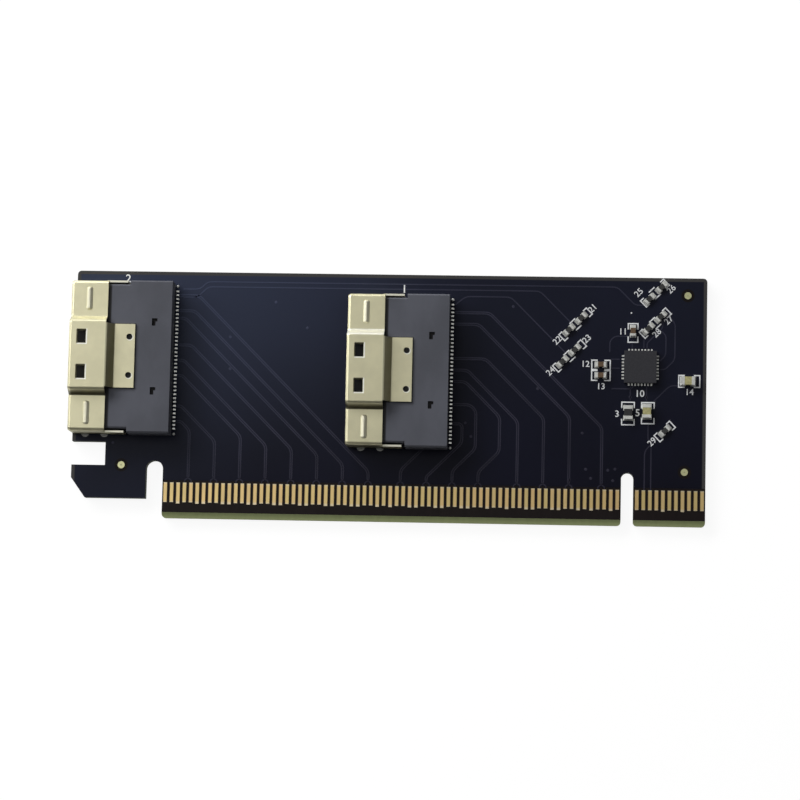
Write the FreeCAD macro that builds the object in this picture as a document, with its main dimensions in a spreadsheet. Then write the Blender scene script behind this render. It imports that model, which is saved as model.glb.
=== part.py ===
import FreeCAD, Part
import math
import os
import re
import Sketcher

# Adapter card with a full-length edge connector and two right-angle cable sockets.
# The card lies flat, component side up. X runs along the card, Y from the edge connector to the
# opposite edge, Z up. The origin is on the centre line of the key notch, at the connector's lower
# edge, on the solder side.

Vector = FreeCAD.Vector

# Driving dimensions in millimetres: alias, value, meaning.
SIZES = (
    ("board_thickness", 1.57, "board over its finger plating"),
    ("cut_margin", 1.0, "cutting outlines beyond the solid that they cut"),
    ("left_end", 86.3, "key notch centre to the hook end of the card"),
    ("right_end", 12.0, "key notch centre to the other end"),
    ("card_height", 38.6, "edge connector to the opposite edge"),
    ("corner_round", 0.6, "radius of the card's corners"),
    ("hook_bottom", 3.0, "lower edge of the retention hook"),
    ("hook_top", 8.05, "upper edge of the retention hook"),
    ("hook_slant_run", 2.2, "slanted hook corner along the card"),
    ("hook_slant_rise", 3.05, "slanted hook corner across the card"),
    ("hook_gap_top", 11.75, "upper edge of the gap above the hook"),
    ("hook_gap_length", 5.25, "depth of that gap from the card's end"),
    ("slot_far", 74.62, "hook side of the retention slot"),
    ("tongue_end", 71.95, "tongue side of the retention slot"),
    ("slot_crown", 8.9, "top of the rounded retention slot"),
    ("key_half", 0.95, "half width of the key notch"),
    ("key_crown", 8.2, "top of the rounded key notch"),
    ("bevel_run", 0.88, "length of the insertion bevel"),
    ("bevel_drop", 0.32, "board removed by the bevel on each side"),
    ("finger_pitch", 1.0, "edge contact pitch"),
    ("finger_width", 0.6, "edge contact width"),
    ("finger_first", 1.5, "key notch centre to the nearest contact"),
    ("finger_crown", 5.51, "top of the contacts"),
    ("finger_length", 3.06, "signal contact length"),
    ("ground_length", 3.26, "ground contact length"),
    ("finger_plating", 0.05, "contact thickness"),
    ("relief_margin", 0.38, "mask opening round the contacts"),
    ("dot_diameter", 1.1, "alignment dot"),
    ("copper", 0.04, "thickness of dots and lands"),
    ("outer_x", 70.51, "outer socket: key notch centre to its rear tails"),
    ("outer_y", 24.67, "outer socket: centre line above the connector edge"),
    ("inner_x", 27.45, "inner socket: key notch centre to its rear tails"),
    ("inner_y", 23.15, "inner socket: centre line above the connector edge"),
    ("sheet", 0.3, "shell sheet thickness"),
    ("shell_front", 15.95, "tails to the shell's mouth"),
    ("shell_rear", 10.25, "tails to the rear edge of the shell's wings"),
    ("shell_half", 11.78, "half width of the shell"),
    ("shell_base", 0.15, "side walls above the board"),
    ("wing_level", 4.2, "top of the wings above the board"),
    ("hump_level", 5.6, "top of the raised latch hump"),
    ("hump_half", 5.36, "half width of the hump's flat top"),
    ("hump_foot", 6.12, "half width at the foot of the hump's slopes"),
    ("bend_outside", 0.55, "outer bend radius"),
    ("bend_inside", 0.15, "bend radius at the foot of the hump"),
    ("mouth_run", 0.36, "bevelled mouth edge along the sheet"),
    ("mouth_drop", 0.18, "bevelled mouth edge through the sheet"),
    ("window_rim", 0.18, "bevelled upper rim of the latch windows"),
    ("hump_rear", 10.05, "rear end of the hump's flat top"),
    ("flap_foot", 9.08, "foot of the hump's rear slope"),
    ("flap_rear", 5.88, "rear end of the tongue"),
    ("flap_half", 4.97, "half width of the tongue"),
    ("flap_overlap", 0.6, "tongue sheet inside the hump sheet"),
    ("flap_hole_x", 6.75, "tongue holes from the tails"),
    ("flap_hole_y", 3.0, "tongue holes from the centre line"),
    ("flap_hole", 0.95, "tongue hole diameter"),
    ("window_front", 14.62, "latch windows, mouth side"),
    ("window_rear", 13.38, "latch windows, rear side"),
    ("window_near", 1.81, "latch windows, near the centre line"),
    ("window_far", 3.7, "latch windows, far from the centre line"),
    ("rib_x", 13.1, "stiffening ribs from the tails"),
    ("rib_near", 7.1, "stiffening ribs, inner end"),
    ("rib_far", 10.75, "stiffening ribs, outer end"),
    ("rib_foot", 0.48, "half width of a rib at its foot"),
    ("rib_crest", 0.08, "half width of a rib at its crest"),
    ("rib_rise", 0.28, "height of a rib"),
    ("arm_rear", 7.3, "rear end of the side arms"),
    ("arm_set", 0.1, "side arms outside the shell's side walls"),
    ("arm_low", 0.7, "lower edge of the side arms"),
    ("arm_high", 3.5, "upper edge of the side arms"),
    ("leg_front_x", 13.8, "front solder legs from the tails"),
    ("leg_rear_x", 10.8, "rear solder legs from the tails"),
    ("leg_half", 0.4, "half width of a solder leg"),
    ("leg_tip_half", 0.22, "half width of a leg's tip"),
    ("leg_reach", 1.5, "legs below the board's upper face"),
    ("leg_taper", 0.4, "length of a leg's tapered tip"),
    ("leg_hole", 1.05, "board hole for a leg"),
    ("housing_front", 15.6, "tails to the housing's front face"),
    ("housing_rear", 0.3, "tails to the housing's rear face"),
    ("housing_top", 3.9, "housing above the board"),
    ("flank_half", 11.25, "half width between the shell's sides"),
    ("cheek_half", 11.9, "half width behind the shell"),
    ("cheek_front", 6.8, "front end of the wide part"),
    ("housing_edge", 0.24, "bevelled upper edges of the housing"),
    ("space_half", 11.0, "half width of the card slot"),
    ("slot_axis", 1.9, "middle of the card slot above the board"),
    ("slot_lip", 0.55, "half height of the slot between its lips"),
    ("lip_flare", 0.75, "half height of the slot at its flared mouth"),
    ("flare_rear", 15.2, "end of the flare"),
    ("lip_rear", 14.7, "end of the lips"),
    ("slot_half_height", 1.05, "half height of the slot behind its lips"),
    ("slot_rear", 8.5, "rear end of the slot"),
    ("roof_under", 3.1, "underside of the housing's roof"),
    ("rear_wall", 0.6, "inner face of the rear wall from the tails"),
    ("tail_gap", 0.3, "rear wall above the board, over the contact feet"),
    ("recess_front", 3.35, "roof recesses, front side"),
    ("recess_mid", 2.78, "roof recesses, rear side of the long leg"),
    ("recess_rear", 2.5, "roof recesses, rear side of the short leg"),
    ("recess_y", 5.38, "roof recesses from the centre line"),
    ("recess_half", 0.58, "half length of a roof recess"),
    ("recess_step", 0.5, "width of the short leg"),
    ("recess_depth", 0.5, "depth of a roof recess"),
    ("peg_x", 12.3, "locating pegs from the tails"),
    ("peg_y", 8.6, "locating pegs from the centre line"),
    ("peg_flats", 1.1, "locating peg across its flats"),
    ("peg_reach", 1.3, "pegs below the housing"),
    ("peg_hole", 1.25, "board hole for a peg"),
    ("contact_pitch", 0.6, "socket contact pitch"),
    ("contact_width", 0.28, "socket contact width"),
    ("strip", 0.15, "contact strip thickness"),
    ("contact_tip", 13.9, "contact tips from the tails"),
    ("tip_lift", 0.34, "contact tips from the slot's middle"),
    ("contact_root", 10.5, "spring roots from the tails"),
    ("run_lift", 0.78, "contact runs from the slot's middle"),
    ("upper_drop", 0.72, "vertical leg of the upper contacts"),
    ("upper_foot", 0.28, "feet of the upper contacts behind the tail line"),
    ("lower_drop", 4.2, "vertical leg of the lower contacts"),
    ("lower_foot", 3.2, "end of the lower contacts' feet"),
    ("carrier_rear", 1.2, "rear end of the contact carrier"),
    ("chip_x", 1.78, "chip centre along the card"),
    ("chip_y", 24.57, "chip centre across the card"),
    ("chip_side", 5.0, "chip body side"),
    ("chip_height", 0.8, "chip body height"),
    ("lead_pitch", 0.5, "chip lead pitch"),
    ("lead_width", 0.25, "chip lead width"),
    ("lead_length", 0.4, "chip lead length"),
    ("lead_height", 0.05, "chip leads below the body"),
    ("heat_pad", 3.2, "side of the chip's heat pad"),
    ("toe", 0.36, "chip lands beyond the body"),
    ("small_length", 1.6, "small chip part length"),
    ("small_width", 0.8, "small chip part width"),
    ("small_end", 0.36, "small chip part metal end"),
    ("capacitor_height", 0.8, "small capacitor height"),
    ("resistor_height", 0.45, "resistor height"),
    ("large_length", 2.05, "large chip part length"),
    ("large_width", 1.3, "large chip part width"),
    ("large_end", 0.48, "large chip part metal end"),
    ("large_height", 1.1, "large capacitor height"),
    ("bead_height", 0.9, "ferrite bead height"),
    ("end_wrap", 0.03, "metal ends stand proud of the body"),
    ("land_margin", 0.18, "lands beyond a metal end"),
    ("pair_step", 1.33, "resistors of a pair from its middle"),
)

FINGERS_PER_SIDE = 82
FINGERS_BEFORE_KEY = 11
CONTACTS_PER_ROW = 37
LEADS_PER_SIDE = 8

# Ground positions of the standard edge connector, which have the longer contacts.
FRONT_GROUNDS = (
    4, 7, 13, 16, 18, 21, 22, 25, 26, 29, 32, 35, 36, 39, 40, 43, 44, 47, 49, 52, 53,
    56, 57, 60, 61, 64, 65, 68, 69, 72, 73, 76, 77, 80,
)
REAR_GROUNDS = (
    4, 12, 15, 18, 20, 23, 24, 27, 28, 31, 34, 37, 38, 41, 42, 45, 46, 49, 51, 54, 55,
    58, 59, 62, 63, 66, 67, 70, 71, 74, 75, 78, 79, 82,
)

# Centres of the alignment dots, and the sides that stand in for their round outline.
DOT_SIDES = 24
DOTS = ((-78.5, 8.12), (9.02, 35.88), (8.75, 8.38))

# Two-ended chip parts: name, size class, height cell, centre, turn in degrees.
CHIP_PARTS = (
    ("chip_side_capacitor", "small", "capacitor_height", (0.6, 30.2), 90),
    ("upper_input_capacitor", "small", "capacitor_height", (-4.3, 24.9), 0),
    ("lower_input_capacitor", "small", "capacitor_height", (-4.3, 23.22), 0),
    ("card_end_capacitor", "large", "large_height", (9.16, 22.5), 0),
    ("bulk_capacitor", "large", "large_height", (2.88, 17.68), 90),
    ("ferrite_bead", "large", "bead_height", (0.0, 17.45), 90),
)

# Diagonal resistors: middles of the pairs and the place of the single one.
RESISTOR_TURN = 45
RESISTOR_PAIRS = ((4.01, 36.2), (3.9, 31.55), (-8.38, 31.2), (-9.32, 26.2))
SINGLE_RESISTOR = (5.66, 14.72)

doc = FreeCAD.newDocument("adapter_card")
sheet = doc.addObject("Spreadsheet::Sheet", "sizes")
size = {}
for row, (alias, value, meaning) in enumerate(SIZES, start=1):
    sheet.set(f"A{row}", alias)
    sheet.set(f"B{row}", str(value))
    sheet.set(f"C{row}", meaning)
    sheet.setAlias(f"B{row}", alias)
    size[alias] = value
doc.recompute()

nodes = []


def bound(expression):
    """Turn the cell names in an expression into references to the sheet."""
    return re.sub(r"[a-z_]+", lambda word: "sizes." + word[0] if word[0] in size else word[0], expression)


def bind(feature, **expressions):
    """Bind properties of a feature to cells of the sheet."""
    for name, expression in expressions.items():
        feature.setExpression(name, bound(expression))


def keep(feature, label):
    """Name a finished sub-part and list it for writing."""
    feature.Label = label
    nodes.append(feature)
    return feature


def place(feature, x, y, z):
    """Bind where a feature stands."""
    feature.setExpression("Placement.Base.x", bound(x))
    feature.setExpression("Placement.Base.y", bound(y))
    feature.setExpression("Placement.Base.z", bound(z))


def origin_plane(body, role):
    """Return one of a body's own origin planes."""
    return next(item for item in body.Origin.OriginFeatures if item.Role == role)


def new_sketch(body, name, role, offset="0"):
    """Start a sketch on an origin plane, moved along that plane's normal."""
    sketch = body.newObject("Sketcher::SketchObject", name)
    sketch.AttachmentSupport = [(origin_plane(body, role), "")]
    sketch.MapMode = "FlatFace"
    sketch.setExpression("AttachmentOffset.Base.z", bound(offset))
    return sketch


def pin_point(sketch, geometry, vertex, point):
    """Hold a point of the sketch at a pair of expressions."""
    for kind, expression in zip(("DistanceX", "DistanceY"), point):
        value = float(sketch.evalExpression(bound(expression)))
        index = sketch.addConstraint(Sketcher.Constraint(kind, -1, 1, geometry, vertex, value))
        sketch.setExpression(f"Constraints[{index}]", bound(expression))


def numbers(sketch, point):
    """Work out a pair of expressions as a point."""
    return Vector(*(float(sketch.evalExpression(bound(expression))) for expression in point), 0)


def add_polygon(sketch, corners):
    """Draw a closed polygon whose corners are pairs of expressions."""
    first = sketch.GeometryCount
    points = [numbers(sketch, corner) for corner in corners]
    count = len(points)
    for index in range(count):
        line = Part.LineSegment(points[index], points[(index + 1) % count])
        sketch.addGeometry(line, False)
    for index in range(count):
        following = first + (index + 1) % count
        sketch.addConstraint(Sketcher.Constraint("Coincident", first + index, 2, following, 1))
        pin_point(sketch, first + index, 1, corners[index])


def add_circle(sketch, centre, diameter):
    """Draw a circle at a pair of expressions."""
    value = float(sketch.evalExpression(bound(diameter)))
    circle = sketch.addGeometry(Part.Circle(numbers(sketch, centre), Vector(0, 0, 1), value / 2), False)
    pin_point(sketch, circle, 3, centre)
    index = sketch.addConstraint(Sketcher.Constraint("Diameter", circle, value))
    sketch.setExpression(f"Constraints[{index}]", bound(diameter))


def add_octagon(sketch, centre, half):
    """Draw an octagon of this half width across its flats at a pair of expressions."""
    part = f"{half} * tan(22.5 deg)"
    steps = (
        (half, part), (part, half), (f"-{part}", half), (f"-({half})", part),
        (f"-({half})", f"-{part}"), (f"-{part}", f"-({half})"), (part, f"-({half})"), (half, f"-{part}"),
    )
    add_polygon(sketch, [(f"{centre[0]} + {x}", f"{centre[1]} + {y}") for x, y in steps])


def add_round_slot(sketch, left, right, crown, low):
    """Draw a slot with straight sides and a half-round top."""
    spring = f"{crown} - ({right} - ({left})) / 2"
    corners = ((left, spring), (left, low), (right, low), (right, spring))
    points = [numbers(sketch, corner) for corner in corners]
    for start, end in zip(points, points[1:]):
        sketch.addGeometry(Part.LineSegment(start, end), False)
    middle = (points[0] + points[3]) / 2
    circle = Part.Circle(middle, Vector(0, 0, 1), (points[3] - points[0]).Length / 2)
    arc = sketch.addGeometry(Part.ArcOfCircle(circle, 0, math.pi), False)
    for line in range(arc - 1):
        sketch.addConstraint(Sketcher.Constraint("Coincident", line, 2, line + 1, 1))
    sketch.addConstraint(Sketcher.Constraint("Coincident", arc - 1, 2, arc, 1))
    sketch.addConstraint(Sketcher.Constraint("Coincident", arc, 2, 0, 1))
    for line in range(arc):
        pin_point(sketch, line, 1, corners[line])
    pin_point(sketch, arc - 1, 2, corners[3])
    value = middle.y
    index = sketch.addConstraint(Sketcher.Constraint("DistanceY", -1, 1, arc, 3, value))
    sketch.setExpression(f"Constraints[{index}]", bound(spring))


def pad(body, sketch, name, length, side="One side", reverse=False):
    """Raise a sketch to a solid."""
    feature = body.newObject("PartDesign::Pad", name)
    feature.Profile = sketch
    feature.SideType = side
    feature.Reversed = reverse
    bind(feature, Length=length)
    doc.recompute()
    return feature


def pocket(body, sketch, name, length, side="One side", reverse=False):
    """Cut a sketch out of the body, and make sure that something was cut."""
    before = body.Shape.Volume
    feature = body.newObject("PartDesign::Pocket", name)
    feature.Profile = sketch
    feature.SideType = side
    feature.Reversed = reverse
    bind(feature, Length=length)
    doc.recompute()
    if body.Shape.Volume >= before:
        raise RuntimeError(f"{name} cuts nothing")
    return feature


def mirrored(body, feature, name):
    """Repeat a feature on the other side of the body's XZ plane."""
    twin = body.newObject("PartDesign::Mirrored", name)
    twin.Originals = [feature]
    twin.MirrorPlane = (origin_plane(body, "XZ_Plane"), [""])
    body.Tip = twin
    doc.recompute()
    return twin


def edges_at(shape, direction, places, tolerance=0.02):
    """Name the straight edges along a direction whose other two coordinates are in a list."""
    axis = "xyz".index(direction)
    kept = [index for index in range(3) if index != axis]
    names = []
    for number, edge in enumerate(shape.Edges, start=1):
        start, end = edge.firstVertex().Point, edge.lastVertex().Point
        along = abs(end[axis] - start[axis])
        if along < tolerance or abs(along - edge.Length) > tolerance:
            continue
        here = [start[index] for index in kept]
        if any(max(abs(here[0] - a), abs(here[1] - b)) < tolerance for a, b in places):
            names.append(f"Edge{number}")
    return names


def round_edges(body, names, name, radius):
    """Round the named edges of the body's last feature."""
    base = body.Tip
    feature = body.newObject("PartDesign::Fillet", name)
    feature.Base = (base, names)
    bind(feature, Radius=radius)
    doc.recompute()
    return feature


def bevel_edges(body, names, name, along, across=None):
    """Bevel the named edges of the body's last feature, evenly or by two widths."""
    if not names:
        raise RuntimeError(f"{name} has no edges")
    base = body.Tip
    before = body.Shape.Volume
    feature = body.newObject("PartDesign::Chamfer", name)
    feature.Base = (base, names)
    bind(feature, Size=along)
    if across:
        feature.ChamferType = "Two distances"
        bind(feature, Size2=across)
    doc.recompute()
    if not feature.Shape.isValid() or body.Shape.Volume >= before:
        raise RuntimeError(f"{name} bevels nothing")
    return feature


def boxes_feature(name, boxes):
    """Make one sub-part of separate boxes, each a lowest corner and three lengths."""
    feature = doc.addObject("Part::Feature", name)
    feature.Shape = Part.makeCompound([Part.makeBox(*lengths, Vector(*corner)) for corner, lengths in boxes])
    return feature


def board_holes():
    """List the board's socket holes as centre expressions and diameter cells."""
    holes = []
    for socket in ("outer", "inner"):
        for sign in "+-":
            leg_y = f"{socket}_y {sign} (shell_half - sheet / 2)"
            for leg in ("leg_front_x", "leg_rear_x"):
                holes.append(((f"-{socket}_x - {leg}", leg_y), "leg_hole"))
            holes.append(((f"-{socket}_x - peg_x", f"{socket}_y {sign} peg_y"), "peg_hole"))
    return holes


def make_board():
    """Board outline with hook, slot, key notch, bevel, contact reliefs and socket holes."""
    body = doc.addObject("PartDesign::Body", "circuit_board")
    outline = new_sketch(body, "board_outline", "XY_Plane")
    gap_end = "-left_end + hook_gap_length"
    add_polygon(outline, (
        ("-tongue_end", "0"), ("right_end", "0"), ("right_end", "card_height"),
        ("-left_end", "card_height"), ("-left_end", "hook_gap_top"), (gap_end, "hook_gap_top"),
        (gap_end, "hook_top"), ("-left_end", "hook_top"),
        ("-left_end", "hook_bottom + hook_slant_rise"),
        ("-left_end + hook_slant_run", "hook_bottom"), ("-tongue_end", "hook_bottom"),
    ))
    pad(body, outline, "board_slab", "board_thickness")

    key = new_sketch(body, "key_outline", "XY_Plane", "board_thickness")
    add_round_slot(key, "-key_half", "key_half", "key_crown", "-cut_margin")
    pocket(body, key, "key_notch", "board_thickness")
    slot = new_sketch(body, "retention_outline", "XY_Plane", "board_thickness")
    add_round_slot(slot, "-slot_far", "-tongue_end", "slot_crown", "hook_bottom - cut_margin")
    pocket(body, slot, "retention_slot", "board_thickness")

    corners = (
        (-size["left_end"], size["card_height"]), (size["right_end"], size["card_height"]),
        (-size["tongue_end"], 0), (size["right_end"], 0),
        (-size["key_half"], 0), (size["key_half"], 0),
    )
    round_edges(body, edges_at(body.Shape, "z", corners), "rounded_corners", "corner_round")

    bevel = new_sketch(body, "bevel_outline", "YZ_Plane")
    add_polygon(bevel, (
        ("-cut_margin", "0"), ("bevel_run", "0"), ("0", "bevel_drop"), ("-cut_margin", "bevel_drop"),
    ))
    add_polygon(bevel, (
        ("-cut_margin", "board_thickness"), ("-cut_margin", "board_thickness - bevel_drop"),
        ("0", "board_thickness - bevel_drop"), ("bevel_run", "board_thickness"),
    ))
    pocket(body, bevel, "insertion_bevel", "2 * left_end", side="Symmetric")

    relief = (
        ("-tongue_end", "finger_crown + relief_margin"), ("right_end", "finger_crown + relief_margin"),
        ("right_end", "finger_crown - ground_length - relief_margin"),
        ("-tongue_end", "finger_crown - ground_length - relief_margin"),
    )
    front = new_sketch(body, "front_relief_outline", "XY_Plane", "board_thickness")
    add_polygon(front, relief)
    pocket(body, front, "front_relief", "finger_plating")
    rear = new_sketch(body, "rear_relief_outline", "XY_Plane")
    add_polygon(rear, relief)
    pocket(body, rear, "rear_relief", "finger_plating", reverse=True)

    holes = new_sketch(body, "socket_hole_outlines", "XY_Plane", "board_thickness")
    for centre, diameter in board_holes():
        add_circle(holes, centre, diameter)
    pocket(body, holes, "socket_holes", "board_thickness")
    keep(body, "circuit_board")


def finger_place(pin):
    """Centre of an edge contact along the card; contact 1 is at the right end."""
    if pin <= FINGERS_BEFORE_KEY:
        return size["finger_first"] + (FINGERS_BEFORE_KEY - pin) * size["finger_pitch"]
    return -size["finger_first"] - (pin - FINGERS_BEFORE_KEY - 1) * size["finger_pitch"]


def make_fingers(label, grounds, bottom):
    """One row of edge contacts, inlaid flush with the board's face."""
    boxes = []
    for pin in range(1, FINGERS_PER_SIDE + 1):
        length = size["ground_length"] if pin in grounds else size["finger_length"]
        corner = (finger_place(pin) - size["finger_width"] / 2, size["finger_crown"] - length, bottom)
        boxes.append((corner, (size["finger_width"], length, size["finger_plating"])))
    keep(boxes_feature(label, boxes), label)


def make_dots():
    """Round copper alignment dots on the component side."""
    dots = []
    for number, (x, y) in enumerate(DOTS, start=1):
        dot = doc.addObject("Part::Prism", f"dot_{number}")
        dot.Polygon = DOT_SIDES
        bind(dot, Circumradius="dot_diameter / 2", Height="copper")
        place(dot, str(x), str(y), "board_thickness")
        dots.append(dot)
    group = doc.addObject("Part::Compound", "fiducial_dots")
    group.Links = dots
    keep(group, "fiducial_dots")


def stand_socket_piece(feature, socket):
    """Move a piece from the socket's own frame to its place on the board."""
    place(feature, f"-{socket}_x", f"{socket}_y", "board_thickness")


def add_tongue(body, socket):
    """Rear tongue of a shell, folded down from the hump to the wings' level."""
    fold = "sheet * tan(atan((hump_level - wing_level) / (hump_rear - flap_foot)) / 2)"
    flap = new_sketch(body, f"{socket}_flap_section", "XZ_Plane")
    start = "-shell_rear - flap_overlap"
    add_polygon(flap, (
        (start, "hump_level"), ("-hump_rear", "hump_level"), ("-flap_foot", "wing_level"),
        ("-flap_rear", "wing_level"), ("-flap_rear", "wing_level - sheet"),
        (f"-flap_foot - {fold}", "wing_level - sheet"), (f"-hump_rear - {fold}", "hump_level - sheet"),
        (start, "hump_level - sheet"),
    ))
    pad(body, flap, f"{socket}_flap", "2 * flap_half", side="Symmetric")


def rib_outline(body, name, level, half, inset):
    """Eight-sided outline of a rib at one level, its ends drawn in by an inset."""
    outline = new_sketch(body, name, "XY_Plane", level)
    near, far = f"rib_near + {inset}", f"rib_far - {inset}"
    corners = []
    for end, cut in ((near, f"{near} + {half} / 2"), (far, f"{far} - {half} / 2")):
        corners.append([
            (f"-rib_x - {half}", cut), (f"-rib_x - {half} / 2", end),
            (f"-rib_x + {half} / 2", end), (f"-rib_x + {half}", cut),
        ])
    add_polygon(outline, corners[0] + corners[1][::-1])
    return outline


def add_rib(body, socket):
    """Stiffening rib on one wing, sloped on all sides."""
    foot = rib_outline(body, f"{socket}_rib_foot", "wing_level", "rib_foot", "0")
    crest = rib_outline(body, f"{socket}_rib_crest", "wing_level + rib_rise", "rib_crest", "rib_rise")
    rib = body.newObject("PartDesign::AdditiveLoft", f"{socket}_rib")
    rib.Profile = foot
    rib.Sections = [crest]
    rib.Ruled = True
    doc.recompute()
    return rib


def make_shell(socket):
    """Formed sheet shell: section with the latch hump, rear tongue, windows, ribs, arms and legs."""
    label = f"{socket}_socket_shell"
    body = doc.addObject("PartDesign::Body", label)
    inset = "sheet * tan(atan((hump_level - wing_level) / (hump_foot - hump_half)) / 2)"
    half = (
        ("shell_half", "shell_base"), ("shell_half", "wing_level"),
        ("hump_foot", "wing_level"), ("hump_half", "hump_level"),
    )
    half_inside = (
        (f"hump_half - {inset}", "hump_level - sheet"), (f"hump_foot - {inset}", "wing_level - sheet"),
        ("shell_half - sheet", "wing_level - sheet"), ("shell_half - sheet", "shell_base"),
    )
    flip = [(f"-({y})", z) for y, z in reversed(half)]
    flip_inside = [(f"-({y})", z) for y, z in reversed(half_inside)]
    section = new_sketch(body, f"{socket}_shell_section", "YZ_Plane", "-shell_front")
    add_polygon(section, half + tuple(flip) + tuple(flip_inside) + half_inside)
    pad(body, section, f"{socket}_shell_sheet", "shell_front - shell_rear")

    convex = ((size["shell_half"], size["wing_level"]), (size["hump_half"], size["hump_level"]))
    concave = ((size["hump_foot"], size["wing_level"]),)
    for name, radius, bends in (("outer", "bend_outside", convex), ("inner", "bend_inside", concave)):
        both = [(sign * y, z) for y, z in bends for sign in (1, -1)]
        round_edges(body, edges_at(body.Shape, "x", both), f"{socket}_{name}_bends", radius)

    add_tongue(body, socket)

    windows = new_sketch(body, f"{socket}_window_outlines", "XY_Plane", "hump_level")
    for sign in ("", "-"):
        add_polygon(windows, (
            ("-window_front", f"{sign}window_near"), ("-window_rear", f"{sign}window_near"),
            ("-window_rear", f"{sign}window_far"), ("-window_front", f"{sign}window_far"),
        ))
    pocket(body, windows, f"{socket}_latch_windows", "2 * sheet")
    level = size["hump_level"]
    ends = [(-size[end], level) for end in ("window_front", "window_rear")]
    sides = [(sign * size[side], level) for side in ("window_near", "window_far") for sign in (1, -1)]
    rims = edges_at(body.Shape, "y", ends) + edges_at(body.Shape, "x", sides)
    bevel_edges(body, rims, f"{socket}_window_rims", "window_rim")
    holes = new_sketch(body, f"{socket}_flap_hole_outlines", "XY_Plane", "wing_level")
    for sign in ("", "-"):
        add_circle(holes, ("-flap_hole_x", f"{sign}flap_hole_y"), "flap_hole")
    pocket(body, holes, f"{socket}_flap_holes", "2 * sheet")

    mirrored(body, add_rib(body, socket), f"{socket}_ribs")

    arm = new_sketch(body, f"{socket}_arm_outline", "XZ_Plane", "-shell_half - arm_set")
    add_polygon(arm, (
        ("-shell_rear - sheet", "arm_low"), ("-arm_rear", "arm_low"),
        ("-arm_rear", "arm_high"), ("-shell_rear - sheet", "arm_high"),
    ))
    mirrored(body, pad(body, arm, f"{socket}_arm", "sheet"), f"{socket}_arms")
    legs = new_sketch(body, f"{socket}_leg_outlines", "XZ_Plane", "-shell_half")
    for leg in ("leg_front_x", "leg_rear_x"):
        add_polygon(legs, (
            (f"-{leg} - leg_half", "shell_base + sheet"), (f"-{leg} - leg_half", "leg_taper - leg_reach"),
            (f"-{leg} - leg_tip_half", "-leg_reach"), (f"-{leg} + leg_tip_half", "-leg_reach"),
            (f"-{leg} + leg_half", "leg_taper - leg_reach"), (f"-{leg} + leg_half", "shell_base + sheet"),
        ))
    mirrored(body, pad(body, legs, f"{socket}_leg_pair", "sheet"), f"{socket}_legs")

    mouth = edges_at(body.Shape, "y", [(-size["shell_front"], size["hump_level"])])
    bevel_edges(body, mouth, f"{socket}_mouth_edge", "mouth_drop", "mouth_run")
    stand_socket_piece(body, socket)
    keep(body, label)


def make_housing(socket):
    """Moulded housing: card slot with lips, open underside, rear wall, roof recesses and pegs."""
    label = f"{socket}_socket_housing"
    body = doc.addObject("PartDesign::Body", label)
    plan = new_sketch(body, f"{socket}_housing_plan", "XY_Plane")
    add_polygon(plan, (
        ("-housing_front", "-flank_half"), ("-cheek_front", "-flank_half"),
        ("-cheek_front", "-cheek_half"), ("-housing_rear", "-cheek_half"),
        ("-housing_rear", "cheek_half"), ("-cheek_front", "cheek_half"),
        ("-cheek_front", "flank_half"), ("-housing_front", "flank_half"),
    ))
    pad(body, plan, f"{socket}_housing_block", "housing_top")

    space = new_sketch(body, f"{socket}_slot_section", "XZ_Plane")
    mouth = "-housing_front - cut_margin"
    add_polygon(space, (
        (mouth, "slot_axis - lip_flare"), ("-housing_front", "slot_axis - lip_flare"),
        ("-flare_rear", "slot_axis - slot_lip"), ("-lip_rear", "slot_axis - slot_lip"),
        ("-lip_rear", "slot_axis - slot_half_height"), ("-slot_rear", "slot_axis - slot_half_height"),
        ("-slot_rear", "-cut_margin"), ("cut_margin", "-cut_margin"),
        ("cut_margin", "tail_gap"), ("-rear_wall", "tail_gap"),
        ("-rear_wall", "roof_under"), ("-slot_rear", "roof_under"),
        ("-slot_rear", "slot_axis + slot_half_height"), ("-lip_rear", "slot_axis + slot_half_height"),
        ("-lip_rear", "slot_axis + slot_lip"), ("-flare_rear", "slot_axis + slot_lip"),
        ("-housing_front", "slot_axis + lip_flare"), (mouth, "slot_axis + lip_flare"),
    ))
    pocket(body, space, f"{socket}_card_slot", "2 * space_half", side="Symmetric")

    recesses = new_sketch(body, f"{socket}_recess_outlines", "XY_Plane", "housing_top")
    for sign in ("", "-"):
        middle = f"{sign}recess_y"
        top = f"{middle} + recess_half"
        step = f"{top} - recess_step"
        foot = f"{middle} - recess_half"
        add_polygon(recesses, (
            ("-recess_front", foot), ("-recess_mid", foot), ("-recess_mid", step),
            ("-recess_rear", step), ("-recess_rear", top), ("-recess_front", top),
        ))
    pocket(body, recesses, f"{socket}_roof_recesses", "recess_depth")

    halves = (size["flank_half"], size["cheek_half"])
    upper = [(sign * half, size["housing_top"]) for half in halves for sign in (1, -1)]
    bevel_edges(body, edges_at(body.Shape, "x", upper), f"{socket}_housing_edges", "housing_edge")

    pegs = new_sketch(body, f"{socket}_peg_outlines", "XY_Plane")
    for sign in ("", "-"):
        add_octagon(pegs, ("-peg_x", f"{sign}peg_y"), "peg_flats / 2")
    pad(body, pegs, f"{socket}_pegs", "peg_reach", reverse=True)
    stand_socket_piece(body, socket)
    keep(body, label)


def make_carrier(socket):
    """Plastic insert that keeps the two contact rows apart."""
    label = f"{socket}_socket_contact_carrier"
    block = doc.addObject("Part::Box", label)
    bind(
        block,
        Length="slot_rear - carrier_rear",
        Width="2 * space_half",
        Height="2 * run_lift - strip",
    )
    place(block, f"-{socket}_x - slot_rear", f"{socket}_y - space_half",
          "board_thickness + slot_axis - run_lift + strip / 2")
    keep(block, label)


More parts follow.
